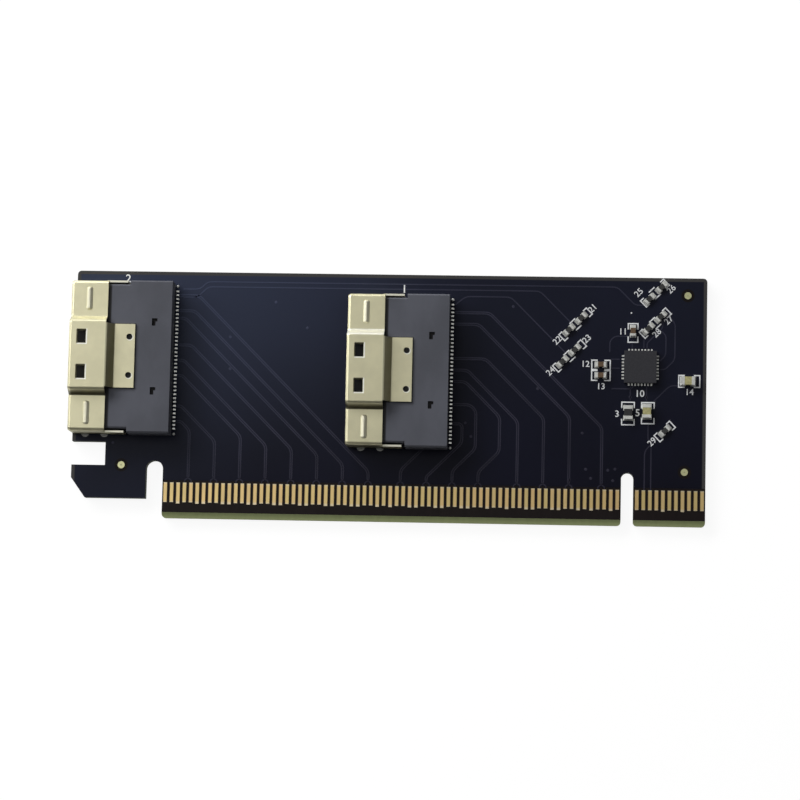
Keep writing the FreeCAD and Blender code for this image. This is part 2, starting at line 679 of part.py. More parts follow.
def contact_profile(row):
    """Corners of a contact strip: sprung tip, straight run, vertical leg and foot."""
    sign, drop, foot = {"upper": ("+", "upper_drop", "upper_foot"),
                        "lower": ("-", "lower_drop", "-lower_foot")}[row]
    half = "strip / 2"
    spine = (("-contact_tip", "tip_lift"), ("-contact_root", "run_lift"))
    over = [(x, f"slot_axis {sign} {lift} + {half}") for x, lift in spine]
    under = [(x, f"slot_axis {sign} {lift} - {half}") for x, lift in reversed(spine)]
    run = f"slot_axis {sign} run_lift"
    leg = (
        (f"-{drop} + {half}", f"{run} + {half}"), (f"-{drop} + {half}", "strip"), (foot, "strip"),
        (foot, "0"), (f"-{drop} - {half}", "0"), (f"-{drop} - {half}", f"{run} - {half}"),
    )
    return tuple(over) + leg + tuple(under)


def make_contact(row):
    """One contact of a row, in the socket's own frame."""
    body = doc.addObject("PartDesign::Body", f"{row}_contact")
    profile = new_sketch(body, f"{row}_contact_profile", "XZ_Plane")
    add_polygon(profile, contact_profile(row))
    pad(body, profile, f"{row}_contact_strip", "contact_width", side="Symmetric")
    return body


def make_contact_row(socket, row, contact):
    """A row of like contacts on the socket's pitch."""
    label = f"{socket}_socket_{row}_contacts"
    feature = doc.addObject("Part::Feature", label)
    first = -(CONTACTS_PER_ROW - 1) / 2
    steps = [(first + number) * size["contact_pitch"] for number in range(CONTACTS_PER_ROW)]
    feature.Shape = Part.makeCompound([contact.Shape.translated(Vector(0, step, 0)) for step in steps])
    stand_socket_piece(feature, socket)
    keep(feature, label)


def lead_rectangles(inner, outer, width):
    """Rectangles round the chip, from one distance off its centre to another, on the lead pitch."""
    first = -(LEADS_PER_SIDE - 1) / 2
    for number in range(LEADS_PER_SIDE):
        offset = (first + number) * size["lead_pitch"]
        for sign in (1, -1):
            near, far = sorted((sign * inner, sign * outer))
            yield near, offset - width / 2, far - near, width
            yield offset - width / 2, near, width, far - near


def chip_boxes(rectangles, bottom, height):
    """Stand rectangles round the chip's centre as boxes."""
    return [
        ((size["chip_x"] + x, size["chip_y"] + y, bottom), (length, width, height))
        for x, y, length, width in rectangles
    ]


def make_chip():
    """Square leadless chip with its leads, heat pad and lands."""
    side = size["chip_side"] / 2
    land_top = size["board_thickness"] + size["copper"]
    land_boxes = list(lead_rectangles(side - size["lead_length"], side + size["toe"], size["lead_width"]))
    pad_side = size["heat_pad"]
    land_boxes.append((-pad_side / 2, -pad_side / 2, pad_side, pad_side))
    lands = boxes_feature("chip_lands", chip_boxes(land_boxes, size["board_thickness"], size["copper"]))
    keep(lands, "chip_lands")

    lead_boxes = lead_rectangles(side - size["lead_length"], side, size["lead_width"])
    leads = boxes_feature("clock_chip_leads", chip_boxes(lead_boxes, land_top, size["lead_height"]))
    keep(leads, "clock_chip_leads")
    heat_pad = doc.addObject("Part::Box", "clock_chip_heat_pad")
    bind(heat_pad, Length="heat_pad", Width="heat_pad", Height="lead_height")
    place(heat_pad, "chip_x - heat_pad / 2", "chip_y - heat_pad / 2", "board_thickness + copper")
    keep(heat_pad, "clock_chip_heat_pad")

    body = doc.addObject("Part::Box", "clock_chip_body")
    bind(body, Length="chip_side", Width="chip_side", Height="chip_height")
    place(body, "chip_x - chip_side / 2", "chip_y - chip_side / 2", "board_thickness + copper + lead_height")
    keep(body, "clock_chip_body")


def turned_box(name, turn, centre, shift, lengths, bottom):
    """Box whose centre is shifted along the turned part, with bound lengths."""
    box = doc.addObject("Part::Box", name)
    bind(box, Length=lengths[0], Width=lengths[1], Height=lengths[2])
    rotation = FreeCAD.Rotation(Vector(0, 0, 1), turn)
    along = float(box.evalExpression(bound(f"{shift} - ({lengths[0]}) / 2")))
    across = float(box.evalExpression(bound(f"-({lengths[1]}) / 2")))
    height = float(box.evalExpression(bound(bottom)))
    base = Vector(*centre, height) + rotation.multVec(Vector(along, across, 0))
    box.Placement = FreeCAD.Placement(base, rotation)
    return box


def chip_part(name, kind, height, centre, turn):
    """Body, two metal ends and two lands of a two-ended chip part."""
    length, width, end = f"{kind}_length", f"{kind}_width", f"{kind}_end"
    seat = "board_thickness + copper"
    core = (f"{length} - 2 * {end}", f"{width} - 2 * end_wrap", f"{height} - 2 * end_wrap")
    body = turned_box(f"{name}_body", turn, centre, "0", core, f"{seat} + end_wrap")
    ends = []
    lands = []
    for sign, word in (("", "first"), ("-", "second")):
        shift = f"{sign}({length} - {end}) / 2"
        ends.append(turned_box(f"{name}_{word}_end", turn, centre, shift, (end, width, height), seat))
        land = (f"{end} + 2 * land_margin", f"{width} + land_margin", "copper")
        lands.append(turned_box(f"{name}_{word}_land", turn, centre, shift, land, "board_thickness"))
    return body, ends, lands


def group_of(label, features):
    """One sub-part of several separate solids."""
    group = doc.addObject("Part::Compound", label)
    group.Links = features
    keep(group, label)


def resistor_centres():
    """Centres of all diagonal resistors."""
    step = FreeCAD.Rotation(Vector(0, 0, 1), RESISTOR_TURN).multVec(Vector(size["pair_step"], 0, 0))
    for x, y in RESISTOR_PAIRS:
        yield x - step.x, y - step.y
        yield x + step.x, y + step.y
    yield SINGLE_RESISTOR


def make_chip_parts():
    """Capacitors, bead and resistors on their lands."""
    lands = []
    for name, kind, height, centre, turn in CHIP_PARTS:
        body, ends, own_lands = chip_part(name, kind, height, centre, turn)
        keep(body, f"{name}_body")
        group_of(f"{name}_ends", ends)
        lands += own_lands
    bodies = []
    metal_ends = []
    for number, centre in enumerate(resistor_centres(), start=1):
        name = f"resistor_{number}"
        body, ends, own_lands = chip_part(name, "small", "resistor_height", centre, RESISTOR_TURN)
        bodies.append(body)
        metal_ends += ends
        lands += own_lands
    group_of("resistor_bodies", bodies)
    group_of("resistor_ends", metal_ends)
    group_of("component_lands", lands)


def write_parts():
    """Check every object and write each sub-part's solids."""
    doc.recompute()
    failed = [item.Name for item in doc.Objects if {"Invalid", "Error"} & set(item.State)]
    if failed:
        raise RuntimeError(f"failed objects: {failed}")
    for feature in nodes:
        if feature.Shape.isNull() or not feature.Shape.isValid() or not feature.Shape.Solids:
            raise RuntimeError(f"bad shape: {feature.Label}")
    os.makedirs("parts", exist_ok=True)
    for feature in nodes:
        feature.Shape.exportStep(f"parts/{feature.Label}.step")
        print(feature.Label, len(feature.Shape.Solids), round(feature.Shape.Volume, 3))


make_board()
make_fingers("front_edge_fingers", FRONT_GROUNDS, size["board_thickness"] - size["finger_plating"])
make_fingers("rear_edge_fingers", REAR_GROUNDS, 0)
make_dots()
contacts = {row: make_contact(row) for row in ("upper", "lower")}
for socket_name in ("outer", "inner"):
    make_shell(socket_name)
    make_housing(socket_name)
    make_carrier(socket_name)
    for row_name, contact_body in contacts.items():
        make_contact_row(socket_name, row_name, contact_body)
make_chip()
make_chip_parts()
write_parts()
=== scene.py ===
import math
from functools import reduce

import bmesh
import bpy
from bmesh.types import BMEdge, BMFace, BMVert
from bpy.props import FloatProperty, FloatVectorProperty, PointerProperty
from bpy.types import Operator, Panel, PropertyGroup
from mathutils import Matrix, Vector


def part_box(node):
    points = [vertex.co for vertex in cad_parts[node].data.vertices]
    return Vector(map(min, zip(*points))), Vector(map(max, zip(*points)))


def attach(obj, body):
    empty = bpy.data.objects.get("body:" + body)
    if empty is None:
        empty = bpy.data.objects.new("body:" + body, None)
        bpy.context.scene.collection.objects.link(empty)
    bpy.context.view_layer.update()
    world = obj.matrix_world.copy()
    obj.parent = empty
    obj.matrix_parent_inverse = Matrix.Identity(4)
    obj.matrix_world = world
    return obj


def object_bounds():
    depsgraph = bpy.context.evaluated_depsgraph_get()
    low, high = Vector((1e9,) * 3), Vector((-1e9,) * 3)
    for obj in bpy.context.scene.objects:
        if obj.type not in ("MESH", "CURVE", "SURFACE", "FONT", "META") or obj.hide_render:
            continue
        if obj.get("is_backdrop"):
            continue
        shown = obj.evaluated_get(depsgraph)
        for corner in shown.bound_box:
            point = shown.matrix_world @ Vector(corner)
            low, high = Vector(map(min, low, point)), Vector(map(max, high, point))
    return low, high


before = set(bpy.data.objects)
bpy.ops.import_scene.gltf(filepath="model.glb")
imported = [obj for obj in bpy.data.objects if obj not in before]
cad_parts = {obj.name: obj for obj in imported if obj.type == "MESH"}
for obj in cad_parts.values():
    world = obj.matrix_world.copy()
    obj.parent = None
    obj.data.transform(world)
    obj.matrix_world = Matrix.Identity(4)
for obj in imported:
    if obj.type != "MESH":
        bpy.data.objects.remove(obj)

CAD_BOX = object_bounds()

bl_info = {
    "name": "Adapter Card Dresser",
    "version": (1, 0, 0),
    "blender": (4, 5, 0),
    "location": "View3D > Sidebar > Card",
    "description": "Finishes, traces, solder, legend and stage for a two-socket adapter card",
    "category": "Object",
}

MM = 0.001

# Levels and outline of the bare board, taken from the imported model, in millimetres.
BOARD_LOW, BOARD_HIGH = (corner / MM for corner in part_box("circuit_board"))
BOARD_TOP = BOARD_HIGH.z
FINGER_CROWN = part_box("front_edge_fingers")[1].y / MM
FINGER_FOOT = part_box("front_edge_fingers")[0].y / MM
FINGER_PITCH = 1.0
TONGUE_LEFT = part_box("front_edge_fingers")[0].x / MM
MASK_EDGE = FINGER_CROWN + 0.32
BEVEL_RUN = 0.88
MARGIN = 0.45

# Usual width of the soft edge between two finishes.
SOFT = 0.04

# Painted sheen on the mask and the masked copper: where it rises across the card, fades along it and sinks at
# the hook.
SHEEN_RISE = (4.0, 40.0)
SHEEN_FADE = (-60.0, -22.0)
SHEEN_HOOK = (-80.0, -50.0)

# Contact rows of the two sockets, and the stretch along them where the feet get painted shade at the
# housing's wall.
CONTACT_PITCH = 0.6
CONTACTS_PER_ROW = 37
FOOT_REACH = 0.28
TAIL_REACH = 3.0
WALL_SHADE_ALONG = (-0.9, -0.14)

# Where light and shade are painted on a socket: along it from its tails, across or sideways from its middle,
# and above the board.
WINDOW_ALONG = (-14.7, -13.12)
WINDOW_ACROSS = (1.55, 3.94)
WINDOW_REAR = -13.28
WINDOW_HALF = 1.04
CROWN_LEVEL = 5.42
WING_LEVEL = 4.1
RIB_ABOVE = (4.27, 4.6)
RIB_ACROSS = 6.5
MOUTH_EDGE = -15.78
ARM_ALONG = -10.2
ARM_ACROSS = 11.52
ARM_LEVEL = 3.46
SLOPE_ACROSS = (5.2, 6.25)
SLOPE_ABOVE = (WING_LEVEL, 5.75)
SLOPE_SHADE = (4.5, 5.6)
SLOPE_END = -10.2
BEND_SIDEWAYS = -11.72
FOLD_ALONG = (-10.12, -9.1)
TONGUE_ACROSS = 5.0
TONGUE_SHADE = -5.85
TONGUE_HOLE = (-6.75, 3.0)
CRESCENT_SHIFT = 0.1
CRESCENT_SQUARED = (0.26, 0.33)
WING_SHADE = -9.85
ROOF_LEVEL = 3.8
RECESS_ALONG = (-3.4, -2.45)
RECESS_ACROSS = (4.7, 6.05)
RECESS_LEVEL = 3.45

# Solder at a socket: films and fillets at the contact feet, drops at the ends of the rows.
FOOT_WIDTH = 0.26
FOOT_FILM = 0.03
FOOT_FILLET = (0.38, 0.22, 0.15)
FOOT_FILLET_ALONG = -0.12
FOOT_FILLET_ABOVE = 0.14
DROP_ACROSS = 11.6
DROP_ALONG = 0.05
DROP_RADII = (0.24, 0.24, 0.14)

# Solder at a shell's legs, as discs: a collar, a cone on it and a plug below.
# Each has its radius, base and height, and the share of the radius at its top.
LEG_ROWS = (-13.8, -10.8)
LEG_ACROSS = 11.63
LEG_SIDES = 20
LEG_DISCS = (
    (0.64, BOARD_TOP, 0.04, 1.0), (0.46, BOARD_TOP + 0.04, 0.12, 0.8), (0.515, BOARD_LOW.z, 0.06, 1.0))

# Fillets at the chip parts: how far down the toe is, and the share of a straight part's height they climb.
TOE_DROP = 0.86
FILLET_RISE = 0.55
RESISTOR_FILLET_REACH = 1.7
RESISTOR_FILLET_WIDTH = 0.84
RESISTOR_FILLET_RISE = 0.3

# Routes of the signal pairs: the pair's column between two edge contacts, the socket contact that it leaves
# from, counted from the row's middle, and the straight run before it turns to the diagonal.
OUTER_PAIRS = (
    (-68, -16, 1.1), (-64, -12, 1.1), (-60, -4, 1.1), (-56, 0, 1.3),
    (-52, 4, 2.4), (-48, 11, 1.4), (-44, 13, 2.8), (-40, 17, 3.4),
)
INNER_PAIRS = ((-17, 1, 2.5), (-13, 4, 5.3), (-9, 13, 4.15), (-4, 16, 5.8))
# Pairs that first run down a column of their own: column, contact, straight run, own column, its lower end.
JOGGED_PAIRS = ((-23, -2, 2.2, -19.8, 11.1), (-27, -8, 3.0, -23.5, 11.5), (-31, -13, 1.5, -25.6, 12.4))
# The pair that leaves from under the inner socket.
HIDDEN_PAIR = ((-30.6, 12.4), (-35.0, 8.0), (-35.0, FINGER_CROWN))
# Where the two lines of a pair part, above the edge contacts.
FORK = 0.8

# Single lines: along the upper edge to the diagonal resistors, and round the chip.
EDGE_LINES = (
    ((-69.6, 35.9), (-67.0, 35.9), (-65.8, 37.1), (-1.9, 37.1), (0.9, 34.3), (2.1, 34.3)),
    ((-69.6, 34.6), (-67.4, 34.6), (-65.7, 36.3), (-13.9, 36.3), (-8.8, 31.2)),
    ((-27.0, 34.0), (-25.4, 35.3), (-18.4, 35.3), (-9.6, 26.5)),
)
CHIP_LINES = (
    ((-0.2, 29.4), (-2.2, 29.4), (-2.95, 28.65), (-2.95, 26.9)),
    ((-1.4, 25.8), (-2.75, 25.8)),
    ((-1.4, 24.4), (-2.75, 24.4)),
    ((-2.6, 21.2), (0.4, 21.2), (0.9, 21.7)),
    ((0.5, 27.6), (0.5, 28.6)),
    ((2.3, 27.6), (2.3, 29.3), (3.2, 30.2)),
    ((2.8, 27.6), (2.8, 28.4), (5.2, 30.8), (5.2, 31.8)),
    ((4.8, 25.6), (5.7, 26.5), (5.7, 29.6), (5.0, 30.3)),
    ((4.8, 24.3), (5.6, 24.3), (7.1, 25.8), (7.1, 31.6), (5.6, 33.1)),
    ((3.6, 19.0), (6.4, 21.8), (7.9, 21.8)),
    ((2.8, 21.6), (2.8, 19.4)),
    ((0.3, 21.6), (0.3, 19.4)),
    ((4.9, 13.9), (2.6, 11.6), (2.6, FINGER_CROWN)),
    ((3.1, 15.6), (3.1, 13.4), (3.6, 12.9), (3.6, FINGER_CROWN)),
)
VIA_CROWN = 0.8
LOOSE_VIAS = (
    (-8.9, 6.9), (-6.4, 8.6), (-3.0, 8.5), (-5.6, 7.2), (-2.2, 6.9), (-1.9, 8.7),
    (-79.89, 11.58), (-62.0, 28.4), (-61.9, 23.4), (-24.2, 13.4), (-7.0, 14.2), (2.8, 19.9),
    (0.3, 19.9), (-25.11, 15.52), (-18.0, 33.8), (-14.0, 21.0), (-50.0, 30.0), (-55.0, 34.0),
)

# Legend: outlines of the straight chip parts as (left, bottom, right, top) and which way they lie.
STRAIGHT_OUTLINES = (
    (-0.24, 28.39, 1.45, 31.49, "up"),
    (-5.80, 24.06, -2.76, 25.70, "along"),
    (-5.80, 22.36, -2.76, 24.06, "along"),
    (7.64, 21.48, 11.07, 23.51, "along"),
    (-1.08, 15.51, 1.03, 19.21, "up"),
    (1.97, 15.73, 4.09, 19.19, "up"),
)
# Legend round the diagonal parts: the two ends of each outline.
DIAGONAL_PAIRS = (
    ((2.16, 34.50), (5.66, 37.96)),
    ((2.02, 29.60), (6.02, 33.46)),
    ((-10.39, 29.03), (-6.21, 33.29)),
    ((-11.30, 24.14), (-7.02, 28.27)),
)
DIAGONAL_SINGLE = ((4.5, 13.52), (6.83, 15.8))
DIAGONAL_HALF_WIDTH = 0.66
STRAIGHT_ARM = 1.3
# Strokes beside the middle of a diagonal pair: distance from its line, and half their length.
STROKE_ASIDE = 0.72
STROKE_HALF = 0.6
INK_DOTS = ((0.31, 33.07),)
INK_DOT_RADIUS = 0.12
INK_DOT_SIDES = 12

# Plain numerals: text, centre, height and turn in degrees.
NUMERALS = (
    ("2", (-78.3, 37.4), 1.3, 0),
    ("1", (-35.0, 36.3), 1.3, 0),
    ("10", (1.75, 20.45), 1.1, 0),
    ("11", (-0.95, 30.1), 1.0, 0),
    ("12", (-6.7, 24.95), 1.0, 0),
    ("13", (-4.25, 21.5), 1.0, 0),
    ("14", (9.4, 20.8), 1.0, 0),
    ("5", (1.46, 17.45), 1.15, 0),
    ("3", (-1.7, 17.25), 1.05, 0),
    ("21", (-5.67, 33.7), 1.0, 45),
    ("22", (-11.08, 28.6), 1.0, 45),
    ("23", (-6.5, 28.9), 1.0, 45),
    ("24", (-12.05, 23.75), 1.0, 45),
    ("25", (1.43, 36.25), 1.0, 45),
    ("26", (6.45, 36.85), 1.0, 45),
    ("27", (6.1, 32.0), 1.0, 45),
    ("28", (4.3, 29.95), 1.0, 45),
    ("29", (3.75, 13.0), 1.0, 45),
)

# Font size of a numeral one millimetre high, how much its strokes are widened, and when its points are one.
FONT_SIZE = 1.35
FONT_WEIGHT = 0.012
FONT_MERGE = 0.002

# Two-ended chip parts: the node of the metal ends and the axis that joins them.
STRAIGHT_PARTS = (
    ("chip_side_capacitor_ends", "y"),
    ("upper_input_capacitor_ends", "x"),
    ("lower_input_capacitor_ends", "x"),
    ("card_end_capacitor_ends", "x"),
    ("bulk_capacitor_ends", "y"),
    ("ferrite_bead_ends", "y"),
)
SMALL_CAPACITORS = ("chip_side_capacitor_ends", "upper_input_capacitor_ends", "lower_input_capacitor_ends")
RESISTOR_TURN = math.radians(45)
RESISTOR_STEP = 1.33
RESISTOR_HALF = 0.8
RESISTOR_MIDDLES = ((4.01, 36.2), (3.9, 31.55), (-8.38, 31.2), (-9.32, 26.2))
RESISTOR_SINGLE = (5.66, 14.72)

# Alignment dots, and the ring without mask round each.
DOTS = ((-78.5, 8.12), (9.02, 35.88), (8.75, 8.38))
DOT_CLEARING = 0.99

# Stage, in metres: sizes of the lamps and the floor, and how brightly the floor and the pale wall glow.
LAMPS = {"key": (0.75, 0.22), "side": (0.4, 0.4), "top": (0.45, 0.45)}
FLOOR_RADIUS = 4.0
FLOOR_SIDES = 64
FLOOR_GLOW = 0.94
FLOOR_SHADE = 0.15
WALL_HEIGHT = (0.02, 0.4)
WALL_SPREAD = (-0.2, 0.9)
WALL_GLOW = 0.7
NEAREST_SEEN = 0.01


def linear(red, green, blue):
    """A colour given in display values from 0 to 255, as the linear values that shaders use."""
    def channel(value):
        share = value / 255
        return share / 12.92 if share <= 0.04045 else ((share + 0.055) / 1.055) ** 2.4
    return channel(red), channel(green), channel(blue)


def colour(name, description, *display):
    """A colour property whose default is given in display values."""
    return FloatVectorProperty(
        name=name, description=description, subtype="COLOR", size=3, min=0, max=1, default=linear(*display))


def length(name, description, millimetres):
    """A length property whose default is given in millimetres."""
    return FloatProperty(
        name=name, description=description, subtype="DISTANCE", unit="LENGTH", min=0, precision=5,
        default=millimetres * MM)


def lamp_place(name, lamp, *place):
    """A property for where a lamp hangs."""
    return FloatVectorProperty(
        name=name, description=f"The {lamp}, from the middle of the card", subtype="TRANSLATION",
        unit="LENGTH", default=place)


def lamp_power(name, lamp, watts):
    """A property for the power of a lamp."""
    return FloatProperty(name=name, description=f"Power of the {lamp}", unit="POWER", default=watts)


class CardFinishes(PropertyGroup):
    """Colours of the card's materials."""

    mask: colour("Mask", "Solder mask over bare laminate", 11, 12, 29)
    # The mask sheen colour is a painted sheen: the lamps' reflection painted into the mask's colour.
    sheen: colour("Mask sheen", "Solder mask towards the upper edge and the hook end", 53, 60, 81)
    trace: colour("Masked copper", "Solder mask over a copper line", 48, 47, 61)
    margin: colour("Margin", "Board margin without copper", 66, 65, 65)
    laminate: colour("Laminate", "Sawn laminate at the board's edges", 66, 70, 52)
    bevel: colour("Bevel", "Milled laminate of the insertion bevel", 154, 163, 116)
    bare: colour("Bare strip", "Unmasked laminate between the edge contacts", 26, 20, 20)
    gold: colour("Gold", "Plated edge contacts", 248, 220, 160)
    dot: colour("Dot", "Plated alignment dots", 226, 226, 176)
    tin: colour("Tin", "Solder and tinned ends", 240, 241, 236)
    shell: colour("Shell", "Nickel plated shell sheet", 223, 218, 184)
    # The rim colour is a painted highlight: lamp light painted on the shell's lit bevels, arms, ribs, hole
    # rims and upper slopes, and on the edge contacts' ends.
    painted_highlight: colour("Rim", "Burnished rims of the shell sheet", 248, 247, 236)
    housing: colour("Housing", "Moulded socket housing", 84, 86, 95)
    # The carrier colour, darkened, is also painted on the housing as shade under the shell.
    carrier: colour("Carrier", "Moulded contact carrier", 20, 20, 22)
    alloy: colour("Contact alloy", "Socket contacts inside the housing", 214, 178, 112)
    ceramic: colour("Ceramic", "Bodies of the large capacitors", 180, 174, 124)
    brown: colour("Brown ceramic", "Bodies of the small capacitors", 102, 80, 58)
    ferrite: colour("Ferrite", "Bead body", 44, 44, 46)
    glaze: colour("Glaze", "Resistor bodies", 60, 60, 60)
    moulding: colour("Moulding", "Chip body", 50, 50, 55)
    ink: colour("Ink", "Legend print", 232, 234, 236)
    floor: colour("Floor", "Studio floor", 251, 251, 251)


class CardSizes(PropertyGroup):
    """Sizes of what is printed, plated and soldered on the board."""

    line_width: length("Line width", "Width of one copper line", 0.18)
    line_gap: length("Line gap", "Space between the two lines of a pair", 0.1)
    line_height: length("Line height", "Masked copper above the board", 0.02)
    line_bend: length("Line bend", "Radius of a line's bends", 0.7)
    via_width: length("Via width", "Diameter of a masked via", 0.46)
    ink_width: length("Ink width", "Width of a legend stroke", 0.19)
    ink_height: length("Ink height", "Legend print above the board", 0.035)
    bracket_arm: length("Bracket arm", "Side strokes of a part outline", 0.7)
    foot_pad: length("Foot pad", "Length of the solder land under a contact foot", 0.4)
    solder_reach: length("Solder reach", "Solder in front of a metal end", 0.2)


class CardStage(PropertyGroup):
    """Camera and lights."""

    lens: FloatProperty(name="Lens", description="Focal length of the camera", unit="CAMERA", default=138.145)
    camera_place: FloatVectorProperty(
        name="Camera place", description="Where the camera stands", subtype="TRANSLATION", unit="LENGTH",
        default=(-8.31 * MM, -38.84 * MM, 473.42 * MM))
    camera_turn: FloatVectorProperty(
        name="Camera turn", description="How the camera is turned", subtype="EULER",
        default=(math.radians(7.039), math.radians(3.120), math.radians(1.262)))
    key_place: lamp_place("Key place", "key lamp", -0.41, 0.43, 0.32)
    key_power: lamp_power("Key power", "key lamp", 4.7)
    top_place: lamp_place("Top place", "lamp overhead", -0.31, 0.14, 0.83)
    top_power: lamp_power("Top power", "lamp overhead", 0.95)
    side_place: lamp_place("Side place", "weak lamp on the right", 0.42, 0.06, 0.68)
    side_power: lamp_power("Side power", "weak lamp on the right", 0.5)
    sky: FloatProperty(name="Sky", description="Brightness of the studio overhead", default=0.07, min=0)


class Signal:
    """An output of a finish's node tree. Sums, products and comparisons of signals become Math nodes."""

    def __init__(self, finish, socket):
        self.finish = finish
        self.socket = socket

    def math(self, operation, first, second):
        """A Math node fed by two signals or numbers."""
        return self.finish.add("ShaderNodeMath", {"operation": operation}, {0: first, 1: second})

    def __add__(self, other):
        return self.math("ADD", self, other)

    __radd__ = __add__

    def __sub__(self, other):
        return self.math("SUBTRACT", self, other)

    def __rsub__(self, other):
        return self.math("SUBTRACT", other, self)

    def __mul__(self, other):
        return self.math("MULTIPLY", self, other)

    __rmul__ = __mul__

    def __gt__(self, other):
        return self.math("GREATER_THAN", self, other)

    def __lt__(self, other):
        return self.math("LESS_THAN", self, other)

    def __abs__(self):
        return self.math("ABSOLUTE", self, 0.0)

    def lesser(self, other):
        """The smaller of two signals."""
        return self.math("MINIMUM", self, other)

    def greater(self, other):
        """The larger of two signals."""
        return self.math("MAXIMUM", self, other)

    def ramp(self, low, high):
        """0 below low, 1 above high and smooth between them."""
        return self.finish.add(
            "ShaderNodeMapRange", {"interpolation_type": "SMOOTHSTEP"},
            {"Value": self, "From Min": low, "From Max": high})

    def past(self, level, edge=SOFT):
        """1 from this level on, with a soft edge below it."""
        return self.ramp(level - edge, level)

    def before(self, level, edge=SOFT):
        """1 up to this level, with a soft edge above it."""
        return 1 - self.ramp(level, level + edge)

    def between(self, low, high, edge=SOFT):
        """1 from low to high and 0 outside, with soft edges."""
        return self.past(low, edge) * self.before(high, edge)


def strongest(*signals):
    """The largest of some signals."""
    return reduce(Signal.greater, signals)


class Shading:
    """A node tree whose nodes are added by type, settings and socket values."""

    def __init__(self, owner, shader):
        owner.use_nodes = True
        self.tree = owner.node_tree
        self.shader = self.tree.nodes[shader]

    def add(self, kind, settings=None, sockets=None, output=0):
        """A new node's output."""
        node = self.tree.nodes.new(kind)
        for name, value in (settings or {}).items():
            setattr(node, name, value)
        for name, value in (sockets or {}).items():
            self.feed(node.inputs[name], value)
        return Signal(self, node.outputs[output])

    def feed(self, socket, value):
        """Link a signal to a socket, or give the socket a constant."""
        if isinstance(value, Signal):
            self.tree.links.new(value.socket, socket)
        else:
            socket.default_value = value

    def set(self, socket, value):
        """Give the shader's socket a number, a colour or a signal."""
        if isinstance(value, tuple):
            value = value + (1.0,)
        self.feed(self.shader.inputs[socket], value)

    def axes(self, vector):
        """The three parts of a vector."""
        return tuple(self.add("ShaderNodeSeparateXYZ", None, {"Vector": vector}, axis) for axis in "XYZ")


class Finish(Shading):
    """A material, with constants for its shader's sockets."""

    def __init__(self, name, **constants):
        self.material = bpy.data.materials.new(name)
        super().__init__(self.material, "Principled BSDF")
        for socket, value in constants.items():
            self.set(socket.replace("_", " "), value)

    def place(self, stretch=(1.0, 1.0, 1.0)):
        """Object coordinates in millimetres, stretched along the axes."""
        scale = tuple(share / MM for share in stretch)
        spot = self.add("ShaderNodeTexCoord", output="Object")
        return self.add("ShaderNodeMapping", None, {"Vector": spot, "Scale": scale})

    def socket_place(self):
        """Along the nearer socket from its tails, sideways from its middle, and above the board."""
        x, y, z = self.axes(self.place())
        (outer_x, outer_y), (inner_x, inner_y) = socket_places()
        outer = self.outer_share()
        along = x - inner_x - outer * (outer_x - inner_x)
        sideways = y - inner_y - outer * (outer_y - inner_y)
        return along, sideways, z - BOARD_TOP

    def outer_share(self):
        """1 round the outer socket and 0 round the inner one."""
        (outer_x, _), (inner_x, _) = socket_places()
        return self.axes(self.place())[0] < (outer_x + inner_x) / 2

    def from_dots(self):
        """Distance to the nearest alignment dot, in millimetres."""
        x, y, _ = self.axes(self.place())
        flat = self.add("ShaderNodeCombineXYZ", None, {"X": x, "Y": y})
        return reduce(Signal.lesser, [
            self.add("ShaderNodeVectorMath", {"operation": "DISTANCE"}, {0: flat, 1: (*spot, 0.0)}, "Value")
            for spot in DOTS])

    def painted_sheen_share(self):
        """How much painted sheen the mask gets: most at the upper edge and the hook end."""
        x, y, _ = self.axes(self.place())
        upper = y.ramp(*SHEEN_RISE) * (0.7 - 0.55 * x.ramp(*SHEEN_FADE))
        return upper + 0.15 - 0.15 * x.ramp(*SHEEN_HOOK)

    def noise(self, scale, detail=3.0, stretch=(1.0, 1.0, 1.0)):
        """A cloud with this many lumps to a millimetre, from 0 to 1 about 0.5."""
        return self.add(
            "ShaderNodeTexNoise", None,
            {"Vector": self.place(stretch), "Scale": scale, "Detail": detail, "Roughness": 0.55})

    def mix(self, share, first, second):
        """A colour between two colours."""
        first, second = (
            shade + (1.0,) if isinstance(shade, tuple) else shade for shade in (first, second))
        return self.add("ShaderNodeMix", {"data_type": "RGBA"}, {0: share, 6: first, 7: second}, 2)

    def shades(self, share, tint, first, last):
        """A colour between two shades of a tint."""
        return self.mix(share, shade_of(tint, first), shade_of(tint, last))

    def bump(self, height, strength, distance):
        """Fine relief of the surface, distance in millimetres."""
        self.set("Normal", self.add(
            "ShaderNodeBump", None, {"Height": height, "Strength": strength, "Distance": distance * MM}))


def shade_of(tint, factor):
    """A colour made darker or lighter."""
    return tuple(min(1.0, part * factor) for part in tint)


def finishes():
    """The colours set for the card."""
    return bpy.context.scene.card_finishes


def sizes():
    """The sizes set for the card."""
    return bpy.context.scene.card_sizes


def once(name, make):
    """The material of this name, made on first use."""
    return bpy.data.materials.get(name) or make(name).material


